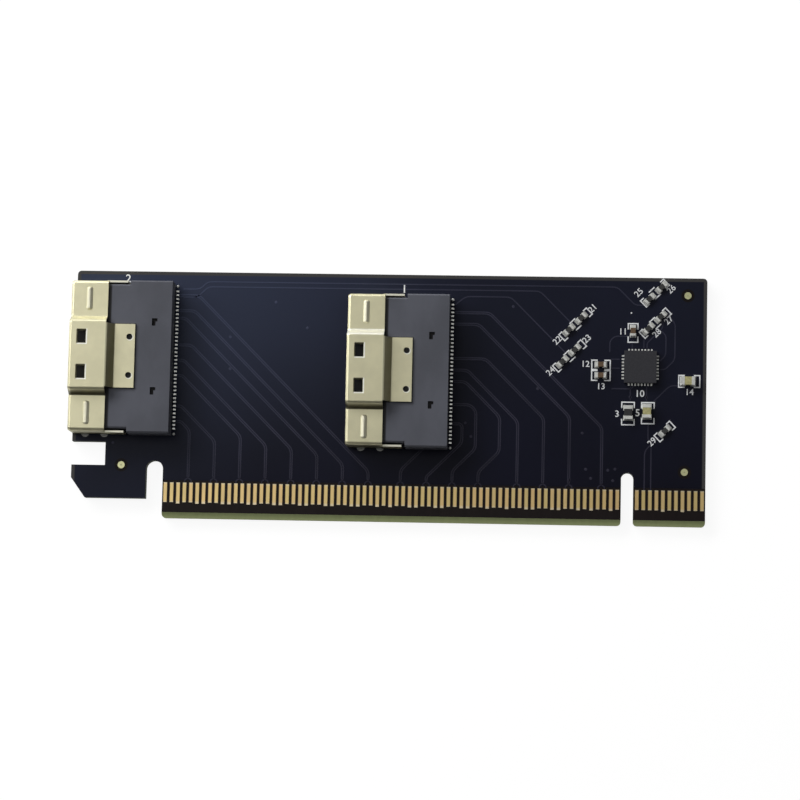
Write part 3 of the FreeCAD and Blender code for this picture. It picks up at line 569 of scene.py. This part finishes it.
def mask_finish(name):
    """Solder mask with a painted sheen, and bare laminate on the edges, the bevel and between the edge
    contacts.
    """
    tints = finishes()
    board = Finish(name, Specular_IOR_Level=0.14)
    x, y, _ = board.axes(board.place())
    clouds = board.noise(0.05, 4.0)
    grain = board.noise(2.2, 5.0)
    mask = board.shades(clouds.ramp(0.3, 0.75), tints.mask, 0.75, 1.2)
    # Painted sheen: the mask turns towards the sheen colour where the lamps' reflection would fall.
    mask = board.mix(board.painted_sheen_share(), mask, tuple(tints.sheen))
    inset = (BOARD_HIGH.y - y).lesser(BOARD_HIGH.x - x).lesser(x - BOARD_LOW.x)
    surface = board.mix(inset.before(MARGIN, 0.17), mask, tuple(tints.margin))
    surface = board.mix(board.from_dots().before(DOT_CLEARING, 0.06), surface, shade_of(tints.bare, 0.7))
    strip = y.before(MASK_EDGE, 0.06) * x.past(TONGUE_LEFT - 0.3, 0.2)
    weave = board.noise(1.6, 4.0, (1.0, 0.3, 1.0))
    surface = board.mix(strip, surface, board.shades(weave, tints.bare, 0.6, 1.5))
    upright = board.axes(board.add("ShaderNodeTexCoord", output="Normal"))[2]
    cut = abs(upright).before(0.95, 0.035)
    layers = board.noise(2.0, 4.0, (0.4, 0.4, 6.0))
    sawn = board.shades(layers, tints.laminate, 0.55, 1.3)
    milled = board.shades(0.35 * weave + 0.65 * y.ramp(0.0, BEVEL_RUN), tints.bevel, 1.35, 0.6)
    edge = board.mix(y.before(BEVEL_RUN + 0.02, 0.06), sawn, milled)
    board.set("Base Color", board.mix(cut, surface, edge))
    board.set("Roughness", 0.34 + 0.14 * grain + 0.3 * cut)
    board.bump(grain, 0.12, 0.02)
    return board


def copper_finish(name):
    """Copper lines seen through the mask, lighter where the mask has its painted sheen."""
    tints = finishes()
    copper = Finish(name, Specular_IOR_Level=0.16)
    clouds = copper.noise(0.12, 4.0)
    masked = copper.shades(clouds.ramp(0.3, 0.7), tints.trace, 0.7, 1.15)
    # Painted sheen: the lines get lighter along with the mask's painted sheen.
    copper.set("Base Color", copper.mix(copper.painted_sheen_share(), masked, shade_of(tints.sheen, 1.6)))
    copper.set("Roughness", 0.32 + 0.16 * copper.noise(2.0))
    return copper


def gold_finish(name):
    """Gold plating whose tint drifts from contact to contact, with a painted highlight at the ends and
    painted shade along the sides.
    """
    tints = finishes()
    gold = Finish(name, Metallic=1.0)
    x, y, _ = gold.axes(gold.place())
    column = x * (1 / FINGER_PITCH)
    count = gold.add("ShaderNodeMath", {"operation": "FLOOR"}, {0: column})
    tone = gold.add("ShaderNodeTexWhiteNoise", {"noise_dimensions": "1D"}, {"W": count}, "Value")
    pink = tuple(part * share for part, share in zip(tints.gold, (1.0, 0.93, 0.88)))
    green = tuple(part * share for part, share in zip(tints.gold, (0.94, 0.96, 0.84)))
    wear = gold.noise(0.9, 5.0, (1.0, 0.25, 1.0))
    tint = gold.mix(wear.ramp(0.42, 0.75), gold.mix(tone, pink, green), shade_of(tints.gold, 0.86))
    # Painted highlight at both ends of each contact, where the rounded plating would catch the light.
    ends = y.before(FINGER_FOOT + 0.15, 0.35).greater(y.past(FINGER_CROWN, 0.3))
    # Painted shade along both sides of each contact, in the colour of the bare strip.
    offset = column - count - 0.5
    sides = offset.before(-0.29, 0.1).greater(offset.past(0.3, 0.06))
    tint = gold.mix(0.4 * ends, tint, tuple(tints.painted_highlight))
    gold.set("Base Color", gold.mix(0.75 * sides, tint, tuple(tints.bare)))
    gold.set("Roughness", 0.3 + 0.2 * wear)
    gold.bump(gold.noise(6.0), 0.08, 0.01)
    return gold


def dot_finish(name):
    """Pale plating of the alignment dots, darker and rougher in their middle."""
    tints = finishes()
    dot = Finish(name, Metallic=1.0)
    darker_share = dot.from_dots().before(0.06, 0.14)
    dot.set("Base Color", dot.shades(darker_share, tints.dot, 1.0, 0.72))
    dot.set("Roughness", 0.34 + 0.12 * dot.noise(2.0) + 0.2 * darker_share)
    return dot


def tin_finish(name, share=1.0):
    """Solder and tinned metal, darker for a smaller share."""
    tints = finishes()
    tin = Finish(name, Metallic=0.55)
    lumps = tin.noise(3.0, 4.0)
    tin.set("Base Color", tin.shades(lumps, tints.tin, 0.78 * share, 1.12 * share))
    tin.set("Roughness", 0.22 + 0.26 * lumps)
    tin.bump(tin.noise(5.0), 0.25, 0.03)
    return tin


def shaded_tin_finish(name):
    """Solder darkened as painted shade, for the legs in the shadow of the shell."""
    return tin_finish(name, 0.45)


def window_rims(along, sideways, above):
    """Bevels of the latch windows, as masks: those that catch the light, for a painted highlight, and the
    others, for painted shade.
    """
    bevels = along.between(*WINDOW_ALONG) * abs(sideways).between(*WINDOW_ACROSS) * above.past(CROWN_LEVEL)
    middle = sum(WINDOW_ACROSS) / 2
    height = sideways + middle - 2 * middle * (sideways > 0.0)
    lit = along.past(WINDOW_REAR, 0.06).greater(height.before(-WINDOW_HALF, 0.06))
    return bevels * lit, bevels - bevels * lit


def hole_crescents(along, sideways):
    """Painted highlights: bright crescents at the tongue's holes, on the side away from the key lamp."""
    x = along - (TONGUE_HOLE[0] + CRESCENT_SHIFT)
    y = abs(sideways + CRESCENT_SHIFT) - TONGUE_HOLE[1]
    return 1 - (x * x + y * y).ramp(*CRESCENT_SQUARED)


def hump_flanks(along, sideways, above):
    """Slopes of the latch hump: the upper one, which gets a painted highlight, and the lower one, which gets
    painted shade, darkest at its foot.
    """
    slopes = abs(sideways).between(*SLOPE_ACROSS) * along.before(SLOPE_END, 0.1) * above.between(*SLOPE_ABOVE)
    upper = slopes * sideways.ramp(-0.1, 0.1)
    return upper, (slopes - upper) * (0.85 - 0.75 * above.ramp(*SLOPE_SHADE))


def shell_finish(name):
    """Satin nickel plating with rolling marks, with painted highlights on lit rims, arms, ribs and upper
    slopes and painted shade on folds, lower slopes, bends and the mouth edge.
    """
    tints = finishes()
    shell = Finish(name)
    rolled = shell.noise(3.5, 3.0, (0.15, 2.0, 1.0))
    haze = shell.noise(0.25, 4.0)
    along, sideways, above = shell.socket_place()
    across = abs(sideways)
    lit, shaded = window_rims(along, sideways, above)
    upper, lower = hump_flanks(along, sideways, above)
    # The outer socket's upper slope gets no painted highlight and a little painted shade, the inner one's a
    # painted highlight.
    outer = upper * shell.outer_share()
    ribs = above.between(*RIB_ABOVE) * across.past(RIB_ACROSS, 0.1)
    arms = across.past(ARM_ACROSS) * along.past(ARM_ALONG) * above.past(ARM_LEVEL, 0.08)
    holes = hole_crescents(along, sideways)
    # Painted highlights: the lit window bevels, the arm edges, the hole crescents, the inner upper slope and
    # the ribs turn towards the highlight colour, with less metal on them and on the upper slopes.
    rims = strongest(lit, 0.6 * arms, 0.8 * holes, 0.8 * (upper - outer), 0.35 * ribs)
    # Painted shade: the rear fold, the mouth edge, the lower slope, the lower bend, the window bevels away
    # from the light and the outer upper slope darken towards near black.
    fold = along.between(*FOLD_ALONG, 0.25) * across.before(TONGUE_ACROSS) * above.past(WING_LEVEL, 0.1)
    mouth = along.before(MOUTH_EDGE, 0.1)
    bend = along.before(SLOPE_END, 0.1) * sideways.before(BEND_SIDEWAYS, 0.2)
    darker_share = strongest(0.62 * fold, 0.3 * mouth, lower, 0.5 * bend, 0.8 * shaded, 0.08 * outer)
    plating = shell.shades(haze.ramp(0.3, 0.7), tints.shell, 0.93, 1.05)
    plating = shell.mix(darker_share, plating, shade_of(tints.shell, 0.08))
    shell.set("Base Color", shell.mix(rims, plating, tuple(tints.painted_highlight)))
    shell.set("Metallic", 1 - (0.75 * rims).greater(0.45 * upper))
    shell.set("Roughness", 0.36 + 0.1 * rolled + 0.06 * haze)
    shell.bump(rolled, 0.06, 0.01)
    return shell


def housing_finish(name):
    """Matt moulded plastic, with painted shade under the shell, beside its edges and in the roof recesses."""
    tints = finishes()
    plastic = Finish(name, Specular_IOR_Level=0.4)
    flow = plastic.noise(0.16, 4.0, (1.0, 0.6, 1.0))
    grain = plastic.noise(7.0, 3.0)
    along, sideways, above = plastic.socket_place()
    across = abs(sideways)
    wings = along.before(WING_SHADE, 0.25)
    tongue = across.before(TONGUE_ACROSS, 0.2) * along.before(TONGUE_SHADE, 0.25)
    recess = along.between(*RECESS_ALONG) * across.between(*RECESS_ACROSS) * above.before(RECESS_LEVEL, 0.4)
    # Painted shade: under and beside the wings and the tongue on the roof, and in the roof recesses, the
    # plastic takes the darkened carrier colour.
    painted_shade = (wings.greater(tongue) * above.past(ROOF_LEVEL, 0.2)).greater(recess)
    moulded = plastic.shades(flow.ramp(0.3, 0.7), tints.housing, 0.86, 1.14)
    plastic.set("Base Color", plastic.mix(painted_shade, moulded, shade_of(tints.carrier, 0.6)))
    plastic.set("Roughness", 0.5 + 0.16 * grain)
    plastic.bump(grain, 0.16, 0.02)
    return plastic


def carrier_finish(name):
    """Black moulded plastic inside the sockets."""
    tints = finishes()
    plastic = Finish(name)
    grain = plastic.noise(6.0, 3.0)
    plastic.set("Base Color", plastic.shades(grain, tints.carrier, 0.7, 1.3))
    plastic.set("Roughness", 0.5 + 0.2 * grain)
    return plastic


def contact_finish(name):
    """Gold plated contacts with tinned feet, which get painted shade at the housing's wall."""
    tints = finishes()
    contact = Finish(name, Metallic=1.0)
    x = contact.axes(contact.place())[0]
    wear = contact.noise(1.5, 4.0)
    tails, wall = 1.0, 0.0
    for tail_x, _ in socket_places():
        along = x - tail_x
        tails = abs(along).past(TAIL_REACH, 0.2) * tails
        wall = along.between(*WALL_SHADE_ALONG) + wall
    plated = contact.shades(wear, tints.alloy, 0.8, 1.15)
    # Painted shade: the tinned feet darken where the housing's wall would shade them.
    feet = contact.shades(wall, tints.tin, 1.0, 0.1)
    contact.set("Base Color", contact.mix(tails, feet, plated))
    contact.set("Roughness", 0.24 + 0.2 * wear)
    return contact


def speckled(tint, rough, speckle_scale, spread, gloss=0.4):
    """A maker of an opaque finish with a fine speckle."""
    def make(name):
        finish = Finish(name, Specular_IOR_Level=gloss)
        speckle = finish.noise(speckle_scale, 4.0)
        finish.set("Base Color", finish.shades(speckle.ramp(0.3, 0.7), tint, 1 - spread, 1 + spread))
        finish.set("Roughness", rough - 0.08 + 0.16 * speckle)
        finish.bump(speckle, 0.12, 0.02)
        return finish
    return make


def dress(material, *nodes):
    """Give CAD nodes their finish."""
    for node in nodes:
        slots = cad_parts[node].data.materials
        slots.clear()
        slots.append(material)


def put(name, data):
    """A new object in the scene."""
    item = bpy.data.objects.new(name, data)
    bpy.context.scene.collection.objects.link(item)
    return item


def put_shape(name, bm, material):
    """A modelled shape as a new object in the scene."""
    mesh = bpy.data.meshes.new(name)
    bm.to_mesh(mesh)
    bm.free()
    mesh.materials.append(material)
    return put(name, mesh)


def finish_piece(name, bm, material):
    """Make a modelled shape, in millimetres, a piece of the card."""
    bmesh.ops.recalc_face_normals(bm, faces=bm.faces)
    bmesh.ops.scale(bm, vec=(MM, MM, MM), verts=bm.verts)
    piece = put_shape(name, bm, material)
    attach(piece, "root")


def socket_places():
    """Tail line and centre line of each socket."""
    for name in ("outer", "inner"):
        low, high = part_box(f"{name}_socket_upper_contacts")
        yield high.x / MM - FOOT_REACH, (low.y + high.y) / 2 / MM


def row_heights(centre):
    """Places of the contacts of a row across the card."""
    for number in range(CONTACTS_PER_ROW):
        yield centre + (number - (CONTACTS_PER_ROW - 1) / 2) * CONTACT_PITCH


def mitres(path):
    """At each point of a path the sideways step that keeps a strip's width even."""
    runs = [(after - before).normalized() for before, after in zip(path, path[1:])]
    for before, after in zip(runs[:1] + runs, runs + runs[-1:]):
        across = Vector((-(before.y + after.y), before.x + after.x)).normalized()
        yield across / max(0.3, across.dot(Vector((-after.y, after.x))))


def beside(path, shift):
    """The path moved sideways."""
    return [point + step * shift for point, step in zip(path, mitres(path))]


def rounded(path, radius, steps=4):
    """The path with its corners replaced by short arcs."""
    points = [path[0]]
    for before, here, after in zip(path, path[1:], path[2:]):
        reach = min(radius, (here - before).length * 0.45, (after - here).length * 0.45)
        start = here + (before - here).normalized() * reach
        end = here + (after - here).normalized() * reach
        for number in range(steps + 1):
            share = number / steps
            points.append(start.lerp(here, share).lerp(here.lerp(end, share), share))
    points.append(path[-1])
    return points


def only(kind, made):
    """The parts of one kind in what a bmesh operator made."""
    return [item for item in made if isinstance(item, kind)]


def lay_strip(bm, path, width, base, height):
    """A flat strip along a path, from base upwards, or downwards where the height is negative."""
    sides = [(point - step * width / 2, point + step * width / 2) for point, step in zip(path, mitres(path))]
    corners = [bm.verts.new((*point, base)) for point in sides[0]]
    edge = bm.edges.new(corners)
    faces = []
    for left, right in sides[1:]:
        made = bmesh.ops.extrude_edge_only(bm, edges=[edge])["geom"]
        faces += only(BMFace, made)
        edge = next(item for item in only(BMEdge, made) if not item.link_faces[1:])
        fresh = sorted(only(BMVert, made), key=lambda vert: (vert.co - corners[0].co).length)
        for vert, point in zip(fresh, (left, right)):
            vert.co = (*point, base)
        corners = fresh
    raised = bmesh.ops.extrude_face_region(bm, geom=faces)["geom"]
    bmesh.ops.translate(bm, vec=(0, 0, height), verts=only(BMVert, raised))


def lay_disc(bm, spot, radius, base, height, sides=16, crown=1.0):
    """A round pad that narrows to a share of its radius at the top."""
    bmesh.ops.create_cone(
        bm, cap_ends=True, segments=sides, radius1=radius, radius2=radius * crown, depth=abs(height),
        matrix=Matrix.Translation((*spot, base + height / 2)))


def lay_bead(bm, spot, radii, base, sides=8, rings=5):
    """A rounded drop of solder, half of it above the base."""
    bmesh.ops.create_uvsphere(
        bm, u_segments=sides, v_segments=rings, radius=1.0,
        matrix=Matrix.Translation((*spot, base)) @ Matrix.Diagonal((*radii, 1.0)))


def lay_wedge(bm, spot, turn, length_along, width, rise, base):
    """A solder fillet that climbs from its toe to a metal end. Turn points from the end to the toe."""
    place = Matrix.Translation((*spot, base)) @ Matrix.Rotation(turn, 4, "Z")
    made = bmesh.ops.create_cube(bm, size=1.0)["verts"]
    bmesh.ops.translate(bm, vec=(0.5, 0, 0.5), verts=made)
    bmesh.ops.scale(bm, vec=(length_along, width, rise), verts=made)
    toe = [vert for vert in made if vert.co.x > length_along / 2 and vert.co.z > rise / 2]
    bmesh.ops.translate(bm, vec=(0, 0, -TOE_DROP * rise), verts=toe)
    bmesh.ops.transform(bm, matrix=place, verts=made)


def pair_routes():
    """Middle lines of all signal pairs, from the socket contact to the edge contacts."""
    (outer_x, outer_y), (inner_x, inner_y) = socket_places()
    for routes, tail_x, centre in ((OUTER_PAIRS, outer_x, outer_y), (INNER_PAIRS, inner_x, inner_y)):
        for column, contact, run in routes:
            start = Vector((tail_x + FOOT_REACH, centre + contact * CONTACT_PITCH))
            turn = Vector((tail_x + run, start.y))
            down = Vector((column, start.y - (column - turn.x)))
            yield column, [start, turn, down, Vector((column, FINGER_CROWN))]
    for column, contact, run, own, low in JOGGED_PAIRS:
        start = Vector((inner_x + FOOT_REACH, inner_y + contact * CONTACT_PITCH))
        turn = Vector((inner_x + run, start.y))
        drop = Vector((own, start.y - abs(own - turn.x)))
        yield column, [
            start, turn, drop, Vector((own, low)), Vector((column, low - (own - column))),
            Vector((column, FINGER_CROWN))]
    yield HIDDEN_PAIR[1][0], [Vector(point) for point in HIDDEN_PAIR]


def split_pair(path, column, shift, side):
    """One line of a pair: beside the middle line, and out to its own edge contact at the lower end."""
    line = beside(path[:-1] + [Vector((column, FINGER_CROWN + FORK))], -side * shift)
    spread = FINGER_PITCH / 2
    own = column + side * spread
    line.append(Vector((own, FINGER_CROWN + FORK - spread + shift)))
    line.append(Vector((own, FINGER_CROWN)))
    return line


class CARD_OT_board(Operator):
    """Give the bare board, its edge contacts, dots and lands their finishes"""

    bl_idname = "card.dress_board"
    bl_label = "Board and plating"

    def execute(self, context):
        dress(once("black_mask", mask_finish), "circuit_board")
        dress(once("contact_gold", gold_finish), "front_edge_fingers", "rear_edge_fingers")
        dress(once("pale_plating", dot_finish), "fiducial_dots")
        dress(once("bright_tin", tin_finish), "component_lands", "chip_lands")
        return {"FINISHED"}


class CARD_OT_sockets(Operator):
    """Give both cable sockets their finishes"""

    bl_idname = "card.dress_sockets"
    bl_label = "Cable sockets"

    def execute(self, context):
        for socket in ("outer_socket", "inner_socket"):
            dress(once("satin_nickel", shell_finish), f"{socket}_shell")
            dress(once("slate_plastic", housing_finish), f"{socket}_housing")
            dress(once("black_plastic", carrier_finish), f"{socket}_contact_carrier")
            dress(
                once("spring_alloy", contact_finish), f"{socket}_upper_contacts", f"{socket}_lower_contacts")
        return {"FINISHED"}


class CARD_OT_chip_parts(Operator):
    """Give the chip, capacitors, bead and resistors their finishes"""

    bl_idname = "card.dress_chip_parts"
    bl_label = "Chip and chip parts"

    def execute(self, context):
        tints = finishes()
        tin = once("bright_tin", tin_finish)
        ceramic = once("olive_ceramic", speckled(tints.ceramic, 0.5, 2.5, 0.18))
        brown = once("brown_ceramic", speckled(tints.brown, 0.5, 2.5, 0.22))
        ferrite = once("dark_ferrite", speckled(tints.ferrite, 0.55, 3.0, 0.2))
        glaze = once("black_glaze", speckled(tints.glaze, 0.3, 2.0, 0.15))
        dress(once("grey_moulding", speckled(tints.moulding, 0.55, 5.0, 0.14, 0.3)), "clock_chip_body")
        dress(glaze, "resistor_bodies")
        dress(tin, "clock_chip_leads", "clock_chip_heat_pad", "resistor_ends")
        for ends, _ in STRAIGHT_PARTS:
            dress(tin, ends)
            body = ends.replace("_ends", "_body")
            small = ends in SMALL_CAPACITORS
            dress(ferrite if body.startswith("ferrite") else brown if small else ceramic, body)
        return {"FINISHED"}


class CARD_OT_lines(Operator):
    """Lay the masked copper lines and vias on both faces of the board"""

    bl_idname = "card.lay_lines"
    bl_label = "Copper lines"

    def execute(self, context):
        size = sizes()
        width, height = size.line_width / MM, size.line_height / MM
        bend = size.line_bend / MM
        shift = (size.line_width + size.line_gap) / 2 / MM
        copper = once("masked_copper", copper_finish)
        front = bmesh.new()
        rear = bmesh.new()
        for column, path in pair_routes():
            for side in (-1, 1):
                line = rounded(split_pair(path, column, shift, side), bend)
                lay_strip(front, line, width, BOARD_TOP, height)
                lay_strip(rear, line, width, BOARD_LOW.z, -height / 2)
        for path in EDGE_LINES + CHIP_LINES:
            line = rounded([Vector(point) for point in path], bend)
            lay_strip(front, line, width, BOARD_TOP, height)
        for spot in LOOSE_VIAS:
            lay_disc(front, spot, size.via_width / 2 / MM, BOARD_TOP, height, crown=VIA_CROWN)
        finish_piece("front_copper_lines", front, copper)
        finish_piece("rear_copper_lines", rear, copper)
        return {"FINISHED"}


class CARD_OT_solder(Operator):
    """Add the solder at the contact feet, the shell legs and the chip parts"""

    bl_idname = "card.add_solder"
    bl_label = "Solder joints"

    def execute(self, context):
        size = sizes()
        tin = once("bright_tin", tin_finish)
        feet = bmesh.new()
        legs = bmesh.new()
        pad = size.foot_pad / MM
        for tail_x, centre in socket_places():
            for across in row_heights(centre):
                film = [Vector((tail_x + FOOT_REACH - pad, across)), Vector((tail_x + FOOT_REACH, across))]
                lay_strip(feet, film, FOOT_WIDTH, BOARD_TOP, FOOT_FILM)
                spot = (tail_x + FOOT_FILLET_ALONG, across)
                lay_wedge(feet, spot, 0.0, *FOOT_FILLET, BOARD_TOP + FOOT_FILLET_ABOVE)
            for across in (-DROP_ACROSS, DROP_ACROSS):
                lay_bead(feet, (tail_x + DROP_ALONG, centre + across), DROP_RADII, BOARD_TOP)
            for along in LEG_ROWS:
                for across in (-LEG_ACROSS, LEG_ACROSS):
                    spot = (tail_x + along, centre + across)
                    for radius, base, height, crown in LEG_DISCS:
                        lay_disc(legs, spot, radius, base, height, LEG_SIDES, crown)
        finish_piece("contact_foot_solder", feet, tin)
        # The leg solder gets the darkened tin: painted shade from the shell above it.
        finish_piece("shell_leg_solder", legs, once("fluxed_tin", shaded_tin_finish))
        self.solder_parts(tin, size.solder_reach / MM)
        return {"FINISHED"}

    def solder_parts(self, tin, reach):
        """Fillets at both ends of every chip part."""
        bm = bmesh.new()
        for node, axis in STRAIGHT_PARTS:
            low, high = (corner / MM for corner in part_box(node))
            span = high - low
            turn, run, width = (0.0, span.x, span.y) if axis == "x" else (math.pi / 2, span.y, span.x)
            rise = FILLET_RISE * (high.z - BOARD_TOP)
            self.fillets(bm, (low + high).xy / 2, turn, run / 2, reach, width, rise)
        along = Vector((math.cos(RESISTOR_TURN), math.sin(RESISTOR_TURN)))
        centres = [Vector(RESISTOR_SINGLE)]
        for middle in RESISTOR_MIDDLES:
            centres += [Vector(middle) - along * RESISTOR_STEP, Vector(middle) + along * RESISTOR_STEP]
        for centre in centres:
            self.fillets(
                bm, centre, RESISTOR_TURN, RESISTOR_HALF, RESISTOR_FILLET_REACH * reach,
                RESISTOR_FILLET_WIDTH, RESISTOR_FILLET_RISE)
        finish_piece("chip_part_solder", bm, tin)

    def fillets(self, bm, centre, turn, half, reach, width, rise):
        """A fillet at each end of a part that lies this way."""
        along = Vector((math.cos(turn), math.sin(turn)))
        for side, outward in ((-1, turn + math.pi), (1, turn)):
            lay_wedge(bm, centre + along * half * side, outward, reach, width, rise, BOARD_TOP)


class CARD_OT_legend(Operator):
    """Print the part outlines, dots and plain numerals on the board"""

    bl_idname = "card.print_legend"
    bl_label = "Legend print"

    def execute(self, context):
        size = sizes()
        tints = finishes()
        ink = once("legend_ink", speckled(tints.ink, 0.6, 3.0, 0.08, 0.3))
        width, height = size.ink_width / MM, size.ink_height / MM
        arm = size.bracket_arm / MM
        outlines = bmesh.new()
        for left, low, right, top, lie in STRAIGHT_OUTLINES:
            centre = Vector(((left + right) / 2, (low + top) / 2))
            spans = ((right - left - width) / 2, (top - low - width) / 2)
            along = Vector((0, 1)) if lie == "up" else Vector((1, 0))
            half_length, half_width = spans if lie == "along" else spans[::-1]
            self.brackets(
                outlines, centre, along, half_length, half_width, STRAIGHT_ARM * arm, width, height)
        for ends in DIAGONAL_PAIRS + (DIAGONAL_SINGLE,):
            centre, along, half = self.middle_line(ends)
            self.brackets(outlines, centre, along, half, DIAGONAL_HALF_WIDTH, arm, width, height)
        for ends in DIAGONAL_PAIRS:
            centre, along, _ = self.middle_line(ends)
            across = Vector((along.y, -along.x))
            for aside in (-STROKE_ASIDE, STROKE_ASIDE):
                middle = centre + across * aside
                stroke = [middle - along * STROKE_HALF, middle + along * STROKE_HALF]
                lay_strip(outlines, stroke, width, BOARD_TOP, height)
        for spot in INK_DOTS:
            lay_disc(outlines, spot, INK_DOT_RADIUS, BOARD_TOP, height, INK_DOT_SIDES)
        finish_piece("legend_outlines", outlines, ink)
        numerals = bmesh.new()
        for text, spot, tall, turn in NUMERALS:
            self.numeral(numerals, text, spot, tall, math.radians(turn), height)
        finish_piece("legend_numerals", numerals, ink)
        return {"FINISHED"}

    def middle_line(self, ends):
        """Centre, direction and half length of the line between two ends."""
        start, end = (Vector(point) for point in ends)
        return (start + end) / 2, (end - start).normalized(), (end - start).length / 2

    def brackets(self, bm, centre, along, half_length, half_width, arm, width, height):
        """Two facing brackets round a part."""
        across = Vector((-along.y, along.x))
        for side in (-1, 1):
            end = centre + along * half_length * side
            inner = end - along * arm * side
            path = [inner - across * half_width, end - across * half_width,
                    end + across * half_width, inner + across * half_width]
            lay_strip(bm, path, width, BOARD_TOP, height)

    def numeral(self, bm, text, spot, tall, turn, height):
        """A plain number, made a mesh at unit size and then put in its place."""
        curve = bpy.data.curves.new("numeral", "FONT")
        curve.body = text
        curve.align_x = "CENTER"
        curve.align_y = "CENTER"
        curve.resolution_u = 3
        curve.extrude = 0.5
        curve.offset = FONT_WEIGHT
        holder = bpy.data.objects.new("numeral", curve)
        mesh = bpy.data.meshes.new_from_object(holder)
        mesh.transform(
            Matrix.Translation((*spot, BOARD_TOP + height / 2)) @ Matrix.Rotation(turn, 4, "Z")
            @ Matrix.Diagonal((FONT_SIZE * tall, FONT_SIZE * tall, height, 1.0)))
        bm.from_mesh(mesh)
        bpy.data.meshes.remove(mesh)
        bpy.data.objects.remove(holder)
        bpy.data.curves.remove(curve)
        bmesh.ops.remove_doubles(bm, verts=bm.verts, dist=FONT_MERGE)


class CARD_OT_stage(Operator):
    """Set the floor, the lights and the camera"""

    bl_idname = "card.set_stage"
    bl_label = "Stage"

    def execute(self, context):
        stage = context.scene.card_stage
        low, high = CAD_BOX
        middle = (low + high) / 2
        self.lay_floor(low.z - sizes().line_height)
        for name, size in LAMPS.items():
            away = Vector(getattr(stage, f"{name}_place"))
            self.hang_lamp(f"{name}_lamp", middle, away, *size, getattr(stage, f"{name}_power"))
        self.light_room(stage.sky)
        camera = put("camera", bpy.data.cameras.new("camera"))
        camera.data.lens = stage.lens
        camera.data.sensor_fit = "HORIZONTAL"
        camera.data.clip_start = NEAREST_SEEN
        camera.location = stage.camera_place
        camera.rotation_euler = stage.camera_turn
        context.scene.camera = camera
        context.scene.view_settings.view_transform = "Standard"
        return {"FINISHED"}

    def lay_floor(self, level):
        """A wide round floor at this level."""
        bm = bmesh.new()
        bmesh.ops.create_circle(
            bm, cap_ends=True, segments=FLOOR_SIDES, radius=FLOOR_RADIUS,
            matrix=Matrix.Translation((0, 0, level)))
        floor = put_shape("floor", bm, self.floor_finish().material)
        floor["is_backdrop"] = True

    def floor_finish(self):
        """A pale floor that looks white to the eye and still takes the card's shadow."""
        tint = tuple(finishes().floor)
        dark = shade_of(tint, FLOOR_SHADE)
        floor = Finish("studio_floor", Base_Color=dark, Roughness=0.9, Emission_Color=tint)
        floor.shader.inputs["Emission Strength"].default_value = FLOOR_GLOW
        plain = floor.add("ShaderNodeBsdfDiffuse", None, {"Color": (*tint, 1.0)})
        camera, glossy, through = (
            floor.add("ShaderNodeLightPath", output=ray)
            for ray in ("Is Camera Ray", "Is Glossy Ray", "Is Transmission Ray"))
        seen = camera.greater(glossy).greater(through)
        shown = floor.add(
            "ShaderNodeMixShader", None, {0: seen, 1: plain, 2: Signal(floor, floor.shader.outputs[0])})
        floor.feed(floor.tree.nodes["Material Output"].inputs["Surface"], shown)
        return floor

    def hang_lamp(self, name, target, away, width, depth, power):
        """A lamp away from the target that shines on it."""
        data = bpy.data.lights.new(name, "AREA")
        data.shape = "RECTANGLE"
        data.size = width
        data.size_y = depth
        data.energy = power
        lamp = put(name, data)
        lamp.location = target + away
        lamp.rotation_euler = (-away).to_track_quat("-Z", "Y").to_euler()

    def light_room(self, sky):
        """A dim room with a pale wall low on the left and behind."""
        world = bpy.data.worlds.new("studio")
        bpy.context.scene.world = world
        room = Shading(world, "Background")
        x, y, z = room.axes(room.add("ShaderNodeTexCoord", output="Generated"))
        wall = (1 - z.ramp(*WALL_HEIGHT)) * (0.8 * y - x).ramp(*WALL_SPREAD)
        room.set("Color", (1.0, 1.0, 1.0))
        room.set("Strength", sky + WALL_GLOW * wall)


class CARD_PT_panel(Panel):
    """Steps that dress the card"""

    bl_label = "Adapter Card"
    bl_idname = "CARD_PT_panel"
    bl_space_type = "VIEW_3D"
    bl_region_type = "UI"
    bl_category = "Card"

    def draw(self, context):
        for step in STEPS:
            self.layout.operator(step.bl_idname)
        for settings in GROUPS:
            box = self.layout.box()
            group = getattr(context.scene, settings)
            for name in group.bl_rna.properties.keys():
                if name not in ("rna_type", "name"):
                    box.prop(group, name)


GROUPS = {"card_finishes": CardFinishes, "card_sizes": CardSizes, "card_stage": CardStage}
STEPS = (
    CARD_OT_board, CARD_OT_sockets, CARD_OT_chip_parts, CARD_OT_lines, CARD_OT_solder, CARD_OT_legend,
    CARD_OT_stage,
)


def register():
    """Add the settings, the steps and the panel."""
    for name, group in GROUPS.items():
        bpy.utils.register_class(group)
        setattr(bpy.types.Scene, name, PointerProperty(type=group))
    for step in STEPS:
        bpy.utils.register_class(step)
    bpy.utils.register_class(CARD_PT_panel)


def unregister():
    """Take the panel, the steps and the settings away."""
    bpy.utils.unregister_class(CARD_PT_panel)
    for step in reversed(STEPS):
        bpy.utils.unregister_class(step)
    for name, group in reversed(GROUPS.items()):
        delattr(bpy.types.Scene, name)
        bpy.utils.unregister_class(group)


def main():
    """Dress the card step by step, and work out the box of the solids and of the dressed card."""
    register()
    bpy.ops.card.dress_board()
    bpy.ops.card.dress_sockets()
    bpy.ops.card.dress_chip_parts()
    bpy.ops.card.lay_lines()
    bpy.ops.card.add_solder()
    bpy.ops.card.print_legend()
    bpy.ops.card.set_stage()
    boxes = {"cad": CAD_BOX, "visual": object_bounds()}
    {name: [list(corner) for corner in box] for name, box in boxes.items()}


if __name__ == "__main__":
    main()
